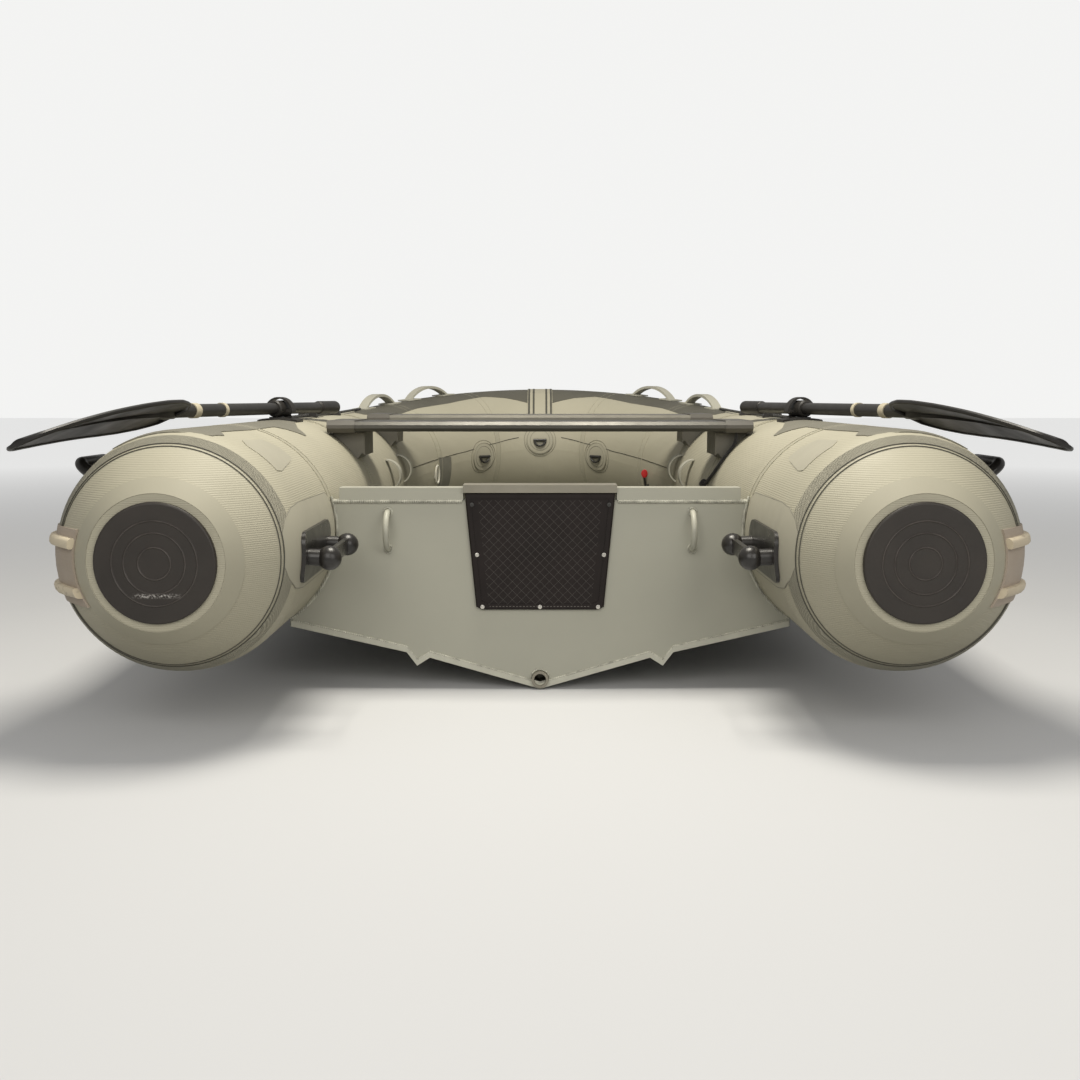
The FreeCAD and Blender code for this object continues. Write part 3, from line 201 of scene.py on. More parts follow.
def lineMask(tree, place, kind):
    x, y, z = parted(tree, place)
    if kind == "capRings":
        rings = [ringMask(tree, x, z, radius, capMarks["ringHalf"])
                 for radius in capMarks["rings"]]
        mask = rings[0]
        for ring in rings[1:]:
            mask = maths(tree, "MAXIMUM", mask, ring)
        clouds = noiseOn(tree, place, capMarks["ringClouds"])
        return maths(tree, "MULTIPLY", mask, spread(tree, clouds, *capMarks["ringWorn"]))
    if kind == "capScuff":
        halves, softs = capMarks["scuffHalf"], capMarks["scuffSoft"]
        box = maths(tree, "MULTIPLY", within(tree, x, capMarks["scuffX"], halves[0], softs[0]),
                    within(tree, z, capMarks["scuffZ"], halves[1], softs[1]))
        clouds = noiseOn(tree, place, capMarks["scuffClouds"])
        worn = spread(tree, clouds, *capMarks["scuffWorn"], 0.0, 1.0)
        return maths(tree, "MULTIPLY", box, worn)
    if kind == "padDiamonds":
        lines = []
        for operation in ("ADD", "SUBTRACT"):
            wave = stripes(tree, maths(tree, operation, x, z), padMarks["pitch"])
            lines.append(maths(tree, "ABSOLUTE", wave))
        line = spread(tree, maths(tree, "MINIMUM", *lines), *padMarks["lineEdge"], 1.0, 0.0)
        edge = maths(tree, "ADD", maths(tree, "MULTIPLY", z, padMarks["taper"]),
                     padMarks["widthAtZero"])
        inside = spread(tree, maths(tree, "SUBTRACT", edge, maths(tree, "ABSOLUTE", x)),
                        0.0, padMarks["soft"], 0.0, 1.0)
        inside = maths(tree, "MULTIPLY", inside, within(
            tree, z, padMarks["middleZ"], padMarks["halfTall"], padMarks["soft"]))
        return maths(tree, "MULTIPLY", line, inside)
    if kind == "padDashes":
        dash = spread(tree, stripes(tree, x, padMarks["dashPitch"]),
                      *padMarks["dashEdge"], 0.0, 1.0)
        row = maths(tree, "MULTIPLY", within(tree, z, padMarks["dashZ"], padMarks["dashHalf"],
                                             padMarks["dashSoft"]),
                    within(tree, x, 0.0, padMarks["dashRun"], padMarks["soft"]))
        return maths(tree, "MULTIPLY", dash, row)
    raise ValueError(kind)


def bumped(tree, height, strength, depth, last):
    bump = tree.nodes.new("ShaderNodeBump")
    bump.inputs["Strength"].default_value = strength
    bump.inputs["Distance"].default_value = depth
    tree.links.new(height, bump.inputs["Height"])
    if last:
        tree.links.new(last, bump.inputs["Normal"])
    return bump.outputs["Normal"]


# Where a noise turns into patches, specks and roughness, and how deep a drawn line is.
noiseEdges = {"patches": (0.35, 0.7), "specks": (0.62, 0.72), "roughness": (0.3, 0.7)}
lineDepth = 0.0008


def newMaterial(name, look):
    material = bpy.data.materials.new(name)
    material.use_nodes = True
    tree = material.node_tree
    shader = tree.nodes["Principled BSDF"]
    place = tree.nodes.new("ShaderNodeTexCoord").outputs["Object"]
    cloud = noiseOn(tree, place, look["patchScale"], 5.0)
    share = spread(tree, cloud, *noiseEdges["patches"], 0.0, 1.0)
    colour = blended(tree, share, look["colour"], look["second"])
    if "speck" in look:
        dots = spread(tree, noiseOn(tree, place, look["speckScale"], 2.0),
                      *noiseEdges["specks"], 0.0, 1.0)
        colour = blended(tree, dots, colour, look["speck"])
    masks = []
    for kind, lineColour, strength in look.get("lines", []):
        masks.append((lineMask(tree, place, kind), strength))
        colour = blended(tree, masks[-1][0], colour, lineColour)
    tree.links.new(colour, shader.inputs["Base Color"])
    rough = spread(tree, noiseOn(tree, place, look["patchScale"] * 3),
                   *noiseEdges["roughness"], *look["roughness"])
    tree.links.new(rough, shader.inputs["Roughness"])
    shader.inputs["Metallic"].default_value = look.get("metallic", 0.0)
    shader.inputs["Specular IOR Level"].default_value = look["specular"]
    if "sheen" in look:
        shader.inputs["Sheen Weight"].default_value = look["sheen"]
    last = None
    for kind, pitch, strength, depth in look["bumps"]:
        last = bumped(tree, bumpHeight(tree, place, kind, pitch), strength, depth, last)
    for mask, strength in masks:
        last = bumped(tree, mask, strength, lineDepth, last)
    tree.links.new(last, shader.inputs["Normal"])
    return material


def lookOf(colour, second, patchScale, roughness, specular, bumps, **extras):
    # bumps are rows of kind, pitch, strength and depth.
    return {"colour": colour, "second": second, "patchScale": patchScale,
            "roughness": roughness, "specular": specular, "bumps": bumps, **extras}


looks = {
    "tubeFabric": lookOf((0.43, 0.405, 0.312), (0.4, 0.378, 0.29), 4.0, (0.5, 0.62), 0.35,
        [("ribsAlongZ", 0.0036, 0.3, 0.0006), ("weave", 0.0052, 0.12, 0.0005),
        ("grain", 0.02, 0.05, 0.002)]),
    "coneFabric": lookOf((0.4, 0.378, 0.292), (0.37, 0.35, 0.272), 6.0, (0.48, 0.6), 0.35,
        [("grain", 0.003, 0.08, 0.0006)]),
    "palePaint": lookOf((0.56, 0.555, 0.47), (0.5, 0.495, 0.42), 30.0, (0.4, 0.55), 0.45,
        [("ribsAlongX", 0.011, 0.15, 0.0006), ("grain", 0.004, 0.3, 0.0006)]),
    "handleRubber": lookOf((0.016, 0.0145, 0.013), (0.024, 0.021, 0.018), 10.0, (0.26, 0.36), 0.5,
        [("grain", 0.004, 0.03, 0.0002)]),
    # The far seat is the same aluminium as the near seat, painted lighter: painted light for the
    # highlight along its top edge.
    "farSeatAluminium": lookOf((0.19, 0.18, 0.15), (0.16, 0.152, 0.127), 7.0, (0.3, 0.42), 0.5,
        [("ribsAlongY", 0.0012, 0.05, 0.0002), ("grain", 0.003, 0.05, 0.0003)], metallic=0.4),
    "seatCapPlastic": lookOf((0.095, 0.088, 0.074), (0.08, 0.074, 0.062), 9.0, (0.35, 0.48), 0.45,
        [("grain", 0.002, 0.1, 0.0004)]),
    "wearPatch": lookOf((0.2, 0.19, 0.152), (0.17, 0.162, 0.13), 8.0, (0.55, 0.72), 0.3,
        [("weave", 0.005, 0.3, 0.0008), ("grain", 0.01, 0.05, 0.001)]),
    "bracketRubber": lookOf((0.16, 0.15, 0.122), (0.13, 0.122, 0.1), 10.0, (0.5, 0.65), 0.35,
        [("grain", 0.004, 0.12, 0.0006)]),
    "hemLine": lookOf((0.25, 0.238, 0.19), (0.22, 0.21, 0.168), 20.0, (0.5, 0.65), 0.3,
        [("grain", 0.003, 0.2, 0.0005)]),
    "darkPatch": lookOf((0.12, 0.115, 0.092), (0.1, 0.096, 0.078), 8.0, (0.55, 0.72), 0.3,
        [("weave", 0.005, 0.3, 0.0008), ("grain", 0.01, 0.05, 0.001)]),
    "paleStrap": lookOf((0.44, 0.43, 0.36), (0.4, 0.39, 0.33), 12.0, (0.45, 0.6), 0.4,
        [("grain", 0.004, 0.1, 0.0006)]),
    "greyRubber": lookOf((0.42, 0.355, 0.29), (0.37, 0.315, 0.255), 9.0, (0.5, 0.7), 0.35,
        [("ribsAlongZ", 0.006, 0.12, 0.0006), ("grain", 0.01, 0.06, 0.001)]),
    "creamRubber": lookOf((0.66, 0.58, 0.43), (0.57, 0.49, 0.36), 14.0, (0.45, 0.62), 0.4,
        [("grain", 0.006, 0.12, 0.001)], speck=(0.4, 0.34, 0.25), speckScale=60.0),
    "blackRubber": lookOf((0.017, 0.0155, 0.014), (0.024, 0.021, 0.018), 10.0, (0.36, 0.5), 0.45,
        [("grain", 0.002, 0.1, 0.0005)]),
    "capRubber": lookOf((0.026, 0.0215, 0.018), (0.036, 0.03, 0.025), 12.0, (0.4, 0.52), 0.4,
        [("grain", 0.0016, 0.1, 0.0004)], speck=(0.03, 0.026, 0.023), speckScale=90.0,
        lines=[("capRings", (0.12, 0.105, 0.095), 0.3), ("capScuff", (0.42, 0.4, 0.38), 0.5)]),
    "blackPlastic": lookOf((0.02, 0.018, 0.016), (0.026, 0.023, 0.02), 9.0, (0.38, 0.55), 0.45,
        [("grain", 0.0015, 0.12, 0.0004)]),
    "bladePlastic": lookOf((0.014, 0.013, 0.012), (0.022, 0.02, 0.018), 7.0, (0.34, 0.46), 0.4,
        [("grain", 0.0025, 0.06, 0.0003)]),
    "padPlastic": lookOf((0.013, 0.0095, 0.0085), (0.019, 0.0135, 0.0125), 9.0, (0.5, 0.62), 0.22,
        [("grain", 0.001, 0.12, 0.0003)], lines=[("padDiamonds", (0.085, 0.078, 0.072), 0.6),
        ("padDashes", (0.2, 0.185, 0.17), 0.3)]),
    "hullPaint": lookOf((0.43, 0.425, 0.355), (0.405, 0.4, 0.335), 5.0, (0.4, 0.5), 0.45,
        [("grain", 0.0025, 0.05, 0.0004)]),
    "deckPaint": lookOf((0.2, 0.2, 0.16), (0.17, 0.17, 0.138), 6.0, (0.5, 0.65), 0.35,
        [("weave", 0.012, 0.35, 0.001), ("grain", 0.004, 0.1, 0.0005)]),
    "weldBead": lookOf((0.621, 0.614, 0.52), (0.3, 0.295, 0.25), 60.0, (0.35, 0.5), 0.5,
        [("ribsAlongX", 0.0045, 0.6, 0.0012), ("grain", 0.003, 0.3, 0.0008)]),
    "bareAluminium": lookOf((0.3, 0.28, 0.23), (0.25, 0.235, 0.19), 10.0, (0.5, 0.62), 0.5,
        [("ribsAlongX", 0.0009, 0.05, 0.0002), ("grain", 0.002, 0.05, 0.0003)], metallic=0.7),
    "seatAluminium": lookOf((0.085, 0.081, 0.07), (0.07, 0.067, 0.058), 7.0, (0.3, 0.42), 0.5,
        [("ribsAlongY", 0.0012, 0.05, 0.0002), ("grain", 0.003, 0.05, 0.0003)], metallic=0.4),
    "blackMetal": lookOf((0.03, 0.029, 0.027), (0.04, 0.038, 0.035), 30.0, (0.3, 0.42), 0.5,
        [("grain", 0.002, 0.08, 0.0003)]),
    "brightSteel": lookOf((0.6, 0.58, 0.53), (0.5, 0.48, 0.44), 60.0, (0.22, 0.34), 0.5,
        [("grain", 0.001, 0.05, 0.0002)], metallic=1.0),
    "oarShaft": lookOf((0.02, 0.019, 0.018), (0.027, 0.025, 0.023), 12.0, (0.32, 0.45), 0.5,
        [("grain", 0.002, 0.08, 0.0003)]),
    "beigeTape": lookOf((0.52, 0.47, 0.35), (0.47, 0.42, 0.31), 30.0, (0.5, 0.62), 0.4,
        [("grain", 0.002, 0.15, 0.0004)]),
    "blackRope": lookOf((0.016, 0.015, 0.014), (0.03, 0.028, 0.025), 90.0, (0.6, 0.8), 0.3,
        [("braid", 0.0042, 0.8, 0.001), ("grain", 0.001, 0.2, 0.0004)], sheen=0.2),
    "knurledTape": lookOf((0.4, 0.38, 0.3), (0.36, 0.342, 0.27), 12.0, (0.5, 0.62), 0.35,
        [("weave", 0.0042, 0.9, 0.0012), ("grain", 0.01, 0.05, 0.001)]),
    "smoothFabric": lookOf((0.4, 0.38, 0.3), (0.375, 0.356, 0.282), 9.0, (0.45, 0.58), 0.38,
        [("grain", 0.004, 0.08, 0.0006)]),
    "darkSeam": lookOf((0.09, 0.087, 0.07), (0.07, 0.068, 0.055), 20.0, (0.5, 0.65), 0.3,
        [("grain", 0.003, 0.2, 0.0005)]),
    "stripFabric": lookOf((0.2, 0.195, 0.16), (0.17, 0.165, 0.135), 20.0, (0.5, 0.65), 0.3,
        [("grain", 0.004, 0.15, 0.0005)]),
    "paleEnamel": lookOf((0.72, 0.7, 0.6), (0.66, 0.64, 0.55), 30.0, (0.28, 0.4), 0.5,
        [("grain", 0.003, 0.05, 0.0003)]),
    "redTag": lookOf((0.5, 0.02, 0.02), (0.42, 0.015, 0.018), 60.0, (0.4, 0.5), 0.4,
        [("grain", 0.002, 0.1, 0.0003)]),
}
materials = {name: newMaterial(name, look) for name, look in looks.items()}

# The CAD nodes that wear each look. Port and starboard nodes are listed without their side.
wearers = {
    "tubeFabric": ["tube", "tube_bow", "bow_patch"],
    "capRubber": ["end_cap"],
    "greyRubber": ["rub_strake"],
    "creamRubber": ["strake_ribs"],
    "hullPaint": ["hull_bottom", "transom", "top_rail", "tow_eyes"],
    "deckPaint": ["deck"],
    "padPlastic": ["motor_pad", "inner_motor_pad"],
    "bareAluminium": ["pad_cap", "drain_tube"],
    "seatAluminium": ["near_seat"],
    # The far seat wears the near seat's aluminium painted lighter, as painted light.
    "farSeatAluminium": ["far_seat"],
    "seatCapPlastic": ["near_seat_caps", "far_seat_caps"],
    "coneFabric": ["ring_patches"],
    "blackMetal": ["d_rings"],
    "bracketRubber": ["seat_brackets"],
    "handleRubber": ["stern_handle", "carry_handle"],
    "blackRubber": ["rowlock_base", "line_fittings", "oar_grip"],
    "paleStrap": ["grab_handle_aft", "grab_handle_forward", "strap_loops"],
    "blackPlastic": ["rowlock_collar", "oar_blade"],
    "oarShaft": ["oar_shaft"],
    "beigeTape": ["oar_bands"],
    "blackRope": ["lifeline", "seat_rope", "seat_rope_knot"],
}
nodeLooks = {node: look for look, worn in wearers.items() for node in worn}


def dress(piece, look):
    piece.data.materials.clear()
    piece.data.materials.append(materials[look])


for name, node in nodes.items():
    plain = name.replace("_starboard", "").replace("_port", "")
    for materialSlot in node.material_slots:
        materialSlot.material = materials[nodeLooks[plain]]
dress(rope, "blackRope")
print("materials made")


def collarAxis(along):
    # The tube's middle and its turn round the bow, that far ahead of the transom's plane.
    run = along - collar["straightEnd"]
    if run <= 0:
        return Vector((collar["axisX"], along, collar["axisZ"])), 0.0
    if run <= sideRun:
        turn = run / sideRadius
        spot = Vector((collar["axisX"] - sideRadius * (1 - math.cos(turn)),
                       collar["straightEnd"] + sideRadius * math.sin(turn), 0))
    else:
        turn = sideTurn + (run - sideRun) / collar["bowRadius"]
        spot = Vector((collar["bowRadius"] * math.cos(turn),
                       bowCentreY + collar["bowRadius"] * math.sin(turn), 0))
    share = min(run / bowRun, 1.0)
    spot.z = collar["axisZ"] + collar["rise"] * share * share * (3 - 2 * share)
    return spot, turn


def sternShape(run):
    # Aft of the parallel tube: the radius, the place along Y and the slope of the skin.
    turn = math.radians(collar["shoulderTurn"])
    centreR = collar["radius"] - collar["shoulder"]
    if run <= shoulderRun:
        angle = run / collar["shoulder"]
        return (centreR + collar["shoulder"] * math.cos(angle),
                collar["parallelAft"] - collar["shoulder"] * math.sin(angle), angle)
    angle = turn + (run - shoulderRun) / collar["cone"]
    coneR = centreR + (collar["shoulder"] - collar["cone"]) * math.cos(turn)
    coneY = collar["parallelAft"] - (collar["shoulder"] - collar["cone"]) * math.sin(turn)
    return (coneR + collar["cone"] * math.cos(angle), coneY - collar["cone"] * math.sin(angle),
            angle)


def onCollar(side, along, around, lift):
    # A point on the collar's skin: around is 0 outboard, 90 up and 180 inboard, in degrees.
    angle = math.radians(around)
    if along < collar["parallelAft"]:
        radius, y, slope = sternShape(collar["parallelAft"] - along)
        reach = radius + lift * math.cos(slope)
        spot = Vector((collar["axisX"], y - lift * math.sin(slope), collar["axisZ"]))
        out = Vector((math.cos(angle), 0, math.sin(angle)))
        point = spot + out * reach
    else:
        spot, turn = collarAxis(along)
        flat = Vector((math.cos(turn), math.sin(turn), 0))
        out = flat * math.cos(angle) + Vector((0, 0, math.sin(angle)))
        point = spot + out * (collar["radius"] + lift)
    return Vector((point.x * side, point.y, point.z))


# Points nearer than this are merged, and edges sharper than this many degrees stay sharp.
meshRules = {"merge": 0.00002, "sharp": 40}


def pick(pieces):
    bpy.ops.object.select_all(action="DESELECT")
    for piece in pieces:
        piece.select_set(True)
    bpy.context.view_layer.objects.active = pieces[0]


def finishPiece(piece, name, look, body="boat"):
    piece.name = name
    piece.data.name = name
    pick([piece])
    bpy.ops.object.transform_apply()
    bpy.ops.object.mode_set(mode="EDIT")
    bpy.ops.mesh.select_all(action="SELECT")
    bpy.ops.mesh.remove_doubles(threshold=meshRules["merge"])
    bpy.ops.mesh.normals_make_consistent()
    bpy.ops.object.mode_set(mode="OBJECT")
    bpy.ops.object.shade_smooth_by_angle(angle=math.radians(meshRules["sharp"]))
    dress(piece, look)
    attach(piece, body)
    return piece


def joined(pieces):
    pick(pieces)
    bpy.ops.object.join()
    return bpy.context.active_object


# A laid sheet's inner face stands this far off the skin.
sheetFoot = 0.0002


def laidSheet(columns, rows, place, thickness):
    # A grid laid on the skin, then given its thickness outwards. place takes two shares and a
    # lift. Four samples along the middle tell which way is outwards.
    bpy.ops.mesh.primitive_grid_add(x_subdivisions=columns, y_subdivisions=rows, size=2)
    piece = bpy.context.active_object
    for vertex in piece.data.vertices:
        first, second = (vertex.co.x + 1) / 2, (vertex.co.y + 1) / 2
        vertex.co = place(first, second, sheetFoot)
    outer = [place((v + 0.5) / 4, 0.5, thickness) for v in range(4)]
    inner = [place((v + 0.5) / 4, 0.5, 0.0) for v in range(4)]
    away = sum((a - b for a, b in zip(outer, inner)), Vector())
    normal = sum((polygon.normal * polygon.area for polygon in piece.data.polygons), Vector())
    shell = piece.modifiers.new("thickness", "SOLIDIFY")
    shell.thickness = thickness
    shell.offset = 1.0 if normal.dot(away) > 0 else -1.0
    pick([piece])
    bpy.ops.object.modifier_apply(modifier=shell.name)
    return piece


def taperedBar(points, radii, closed=False, roundness=2):
    # A round bar along points, with a radius at each, as a mesh.
    piece, spline = curveAlong("bar", "POLY", points, radii, roundness)
    spline.use_cyclic_u = closed
    pick([piece])
    bpy.ops.object.convert(target="MESH")
    return bpy.context.active_object


def tubeOf(points, radius, closed=False):
    return taperedBar(points, [radius] * len(points), closed)


# Seams round the tubes: a flat tape with a raised line at each edge.
seams = {"places": [0.0, 0.62, 1.35, 1.8, 2.2], "width": 0.03, "thickness": 0.0009,
         "lineRadius": 0.0008, "turns": 90}
# On the stern cones: a doubler round the cap, a knurled tape, and two dark lines aft of it.
cone = {"doublerEnd": -0.49, "line": -0.406, "tapeEnd": -0.379, "thickness": 0.0012,
        "lineSteps": [0.0, 0.008], "lineLift": 0.0006, "lineRadius": 0.0011}
lastRun = collar["parallelAft"] - shoulderRun - coneRun


def seamLine(side, along, lift, radius):
    circle = [onCollar(side, along, turn * 360 / seams["turns"], lift)
              for turn in range(seams["turns"])]
    return tubeOf(circle, radius, True)


def tapeRound(side, start, end):
    return laidSheet(6, seams["turns"], lambda u, v, lift: onCollar(
        side, start + u * (end - start), v * 360, lift), cone["thickness"])


for sideName, side in sides.items():
    parts = []
    for along in seams["places"]:
        parts.append(laidSheet(4, seams["turns"], lambda u, v, lift: onCollar(
            side, along + (u - 0.5) * seams["width"], v * 360, lift), seams["thickness"]))
        for edge in (-1, 1):
            parts.append(seamLine(side, along + edge * seams["width"] / 2, seams["thickness"],
                                  seams["lineRadius"]))
    finishPiece(joined(parts), f"tube_seams_{sideName}", "coneFabric")
    finishPiece(tapeRound(side, lastRun, cone["doublerEnd"]),
                f"cap_doubler_{sideName}", "coneFabric")
    finishPiece(tapeRound(side, cone["line"], cone["tapeEnd"]),
                f"cone_tape_{sideName}", "knurledTape")
    lines = [seamLine(side, cone["line"] - step, cone["lineLift"], cone["lineRadius"])
             for step in cone["lineSteps"]]
    finishPiece(joined(lines), f"cone_seam_{sideName}", "darkSeam")
print("seams laid")


def eased(keys, share):
    # The low and high edges of a patch at that share of its run, from its key places.
    along = keys[0][0] + share * (keys[-1][0] - keys[0][0])
    for before, after in zip(keys, keys[1:]):
        if along <= after[0] + 1e-9:
            part = (along - before[0]) / (after[0] - before[0])
            return (along, before[1] + part * (after[1] - before[1]),
                    before[2] + part * (after[2] - before[2]))
    return keys[-1]


def patchOn(side, patch):
    def place(u, v, lift):
        along, low, high = eased(patch["keys"], u)
        return onCollar(side, along, low + v * (high - low), lift)
    return laidSheet(*patch["grid"], place, patch["thickness"])


def patchHem(side, patch, steps=60):
    # A thin line round a patch, sunk a little into its thickness.
    keys, lift = patch["keys"], patch["thickness"] * 0.6
    rows = [eased(keys, step / steps) for step in range(steps + 1)]
    edge = [onCollar(side, along, low, lift) for along, low, high in rows]
    edge += [onCollar(side, along, high, lift) for along, low, high in reversed(rows)]
    return tubeOf(edge, patch["hemRadius"], True)


# What is glued to both tubes: the dark wear patch on the crown, from the oar's blade to the
# rowlock, the shield under the tow handle, a plain doubler further up, the dark band over the
# bow with its wavy inboard edge, and the seam along the inside of the bow. Each key is a place
# along the tube and the patch's outboard and inboard edges in degrees.
patches = {
    "wear_patch": {
        "keys": [(-0.362, 62, 92), (-0.355, 58, 107), (-0.3, 58, 109), (-0.255, 58, 104),
                 (-0.05, 60, 106.5), (0.16, 62, 106), (0.2, 64, 112), (0.25, 66, 122),
                 (0.31, 70, 112), (0.44, 78, 103), (0.6, 84, 99), (0.85, 86, 96), (1.0, 87, 95)],
        "thickness": 0.0012, "grid": (110, 12), "look": "wearPatch", "slot": "grey_patch"},
    "handle_doubler": {
        "keys": [(-0.405, 168, 186), (-0.39, 162, 192), (-0.36, 158, 197), (-0.3, 157, 199),
                 (-0.04, 158, 199), (-0.02, 160, 196)], "hemRadius": 0.0011,
        "thickness": 0.0014, "grid": (48, 16), "look": "smoothFabric", "slot": "tube_fabric"},
    "plain_doubler": {
        "keys": [(-0.3, 121, 139), (-0.27, 116, 140), (-0.14, 118, 136), (-0.11, 126, 134)],
        "thickness": 0.001, "grid": (48, 16), "look": "smoothFabric", "slot": "tube_fabric"},
    "bow_band": {
        "keys": [(1.5, 96, 104), (1.6, 86, 116), (1.7, 78, 117.5), (1.86, 70, 114.5),
                 (2.04, 62, 116), (2.15, 60, 113.5), (2.24, 58, 112), (2.34, 57, 119),
                 (2.44, 56, 129), (2.50884, 56, 131)],
        "thickness": 0.0012, "grid": (96, 18), "look": "darkPatch", "slot": "grey_patch"},
    "inner_seam": {
        "keys": [(1.5, 170.0, 170.7), (2.0, 171.5, 172.0), (2.36, 167.5, 168.2)],
        "thickness": 0.0009, "grid": (60, 2), "look": "darkSeam", "slot": "tube_fabric"},
}
for label, patch in patches.items():
    for sideName, side in sides.items():
        finishPiece(patchOn(side, patch), f"{label}_{sideName}", patch["look"])
        if "hemRadius" in patch:
            finishPiece(patchHem(side, patch), f"{label}_hem_{sideName}", "hemLine")

# A bare strip on the port tube's inner face.
strip = {"keys": [(1.79, 170, 197), (1.885, 173, 200)], "thickness": 0.0009, "grid": (10, 16),
         "hemRadius": 0.0008}
finishPiece(joined([patchOn(-1, strip), patchHem(-1, strip, 20)]), "bare_strip_port",
            "stripFabric")

# Two pairs of dark lines on the patch over the stem. patchLift is that patch's outer face.
stemLines = {"fromTurn": 27, "toTurn": 152, "offsets": [0.0235, 0.0405], "width": 0.007,
             "patchLift": 0.0032, "thickness": 0.0008}
parts = []
for side in sides.values():
    for offset in stemLines["offsets"]:
        def stemPlace(u, v, lift):
            angle = math.radians(stemLines["fromTurn"]
                                 + v * (stemLines["toTurn"] - stemLines["fromTurn"]))
            skin = collar["radius"] + stemLines["patchLift"] + lift
            reach = collar["bowRadius"] + skin * math.cos(angle)
            x = side * (offset + (u - 0.5) * stemLines["width"])
            return Vector((x, bowCentreY + math.sqrt(reach * reach - x * x),
                           collar["axisZ"] + collar["rise"] + skin * math.sin(angle)))
        parts.append(laidSheet(2, 40, stemPlace, stemLines["thickness"]))
finishPiece(joined(parts), "stem_lines", "darkSeam")

# Raised rings round each D ring's patch: two on the patch, one on the tube outside it. Each
# circle is a radius and a lift, each spot a side, a place, a turn and a stretch along the tube.
ringRims = {"circles": [(0.036, 0.0038), (0.0475, 0.0038), (0.0575, 0.0006)],
            "radius": 0.0009, "stations": 60,
            "spots": [(1, 2.1018, 180.0, 1.2855), (-1, 2.1018, 180.0, 1.2855),
                      (1, 2.50884, 171.7, 1.915)]}
parts = []
for side, along, turn, stretch in ringRims["spots"]:
    for reach, lift in ringRims["circles"]:
        circle = []
        for station in range(ringRims["stations"]):
            angle = station * math.pi / (ringRims["stations"] / 2)
            circle.append(onCollar(side, along + reach * stretch * math.cos(angle),
                                   turn + math.degrees(reach * math.sin(angle)
                                                       / collar["radius"]), lift))
        parts.append(tubeOf(circle, ringRims["radius"], True))
finishPiece(joined(parts), "ring_patch_rims", "hemLine")
print("patches laid")


# The strake's two cream ribs run on its band from one cap round the bow to the other. They are
# worn lower from ahead to aft and stay low from there to the stern. The section gives shares of
# the half height and of the proudness over the band's face.
ribs = {"drop": 0.0135, "spacing": 0.085, "halfHeight": 0.009, "foot": 0.003, "face": 0.0043,
        "proud": 0.018, "worn": 0.55, "aft": -0.2, "ahead": 0.5, "endTurn": 43.0, "stations": 150,
        "section": [(-1.0, 0.0), (-1.0, 0.6), (-0.87, 0.86), (-0.55, 1.0), (0.0, 1.03),
                    (0.55, 1.0), (0.87, 0.86), (1.0, 0.6), (1.0, 0.0)]}
ribsFrom = (collar["parallelAft"] - shoulderRun
            - collar["cone"] * math.radians(ribs["endTurn"] - collar["shoulderTurn"]))
ribsTo = collar["straightEnd"] + bowRun


def ribRing(side, along, middle):
    # The section of a rib at one place along the collar.
    radius = collar["radius"]
    if along < collar["parallelAft"]:
        radius = sternShape(collar["parallelAft"] - along)[0]
    share = (ribs["ahead"] - along) / (ribs["ahead"] - ribs["aft"])
    proud = ribs["proud"] * (1 - (1 - ribs["worn"]) * min(1.0, max(0.0, share)))
    ring = []
    for height, share in ribs["section"]:
        lift = ribs["foot"] + share * (ribs["face"] - ribs["foot"] + proud)
        level = middle + height * ribs["halfHeight"]
        around = math.degrees(math.asin(level / (radius + lift)))
        ring.append(onCollar(side, along, around, lift))
    return ring


bars = []
for middle in (-ribs["drop"] - ribs["spacing"] / 2, -ribs["drop"] + ribs["spacing"] / 2):
    places = [ribsFrom + (ribsTo - ribsFrom) * step / ribs["stations"]
              for step in range(ribs["stations"] + 1)]
    rings = [ribRing(1, place, middle) for place in places]
    rings += [ribRing(-1, place, middle) for place in reversed(places[:-1])]
    corners = len(ribs["section"])
    faces = [tuple(range(corners)),
             tuple(range((len(rings) - 1) * corners, len(rings) * corners))]
    for row in range(len(rings) - 1):
        here, after = row * corners, (row + 1) * corners
        for column in range(corners):
            beside = (column + 1) % corners
            faces.append((here + column, here + beside, after + beside, after + column))
    data = bpy.data.meshes.new("rib")
    data.from_pydata([point for ring in rings for point in ring], [], faces)
    bars.append(linked("rib", data))
piece = finishPiece(joined(bars), "strake_ribs_worn", "creamRubber")
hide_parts("strake_ribs")


def beadOf(points, radius, ripple=0.0042):
    # A weld bead: a bar that swells and narrows along its run, two points to a ripple.
    spots = []
    for first, second in zip(points, points[1:]):
        count = max(1, round((second - first).length / (ripple / 2)))
        for step in range(count):
            spots.append(first.lerp(second, step / count))
    spots.append(points[-1])
    narrow = 0.84
    swell = [radius if index % 2 else radius * narrow for index in range(len(spots))]
    return taperedBar(spots, swell, roundness=1)


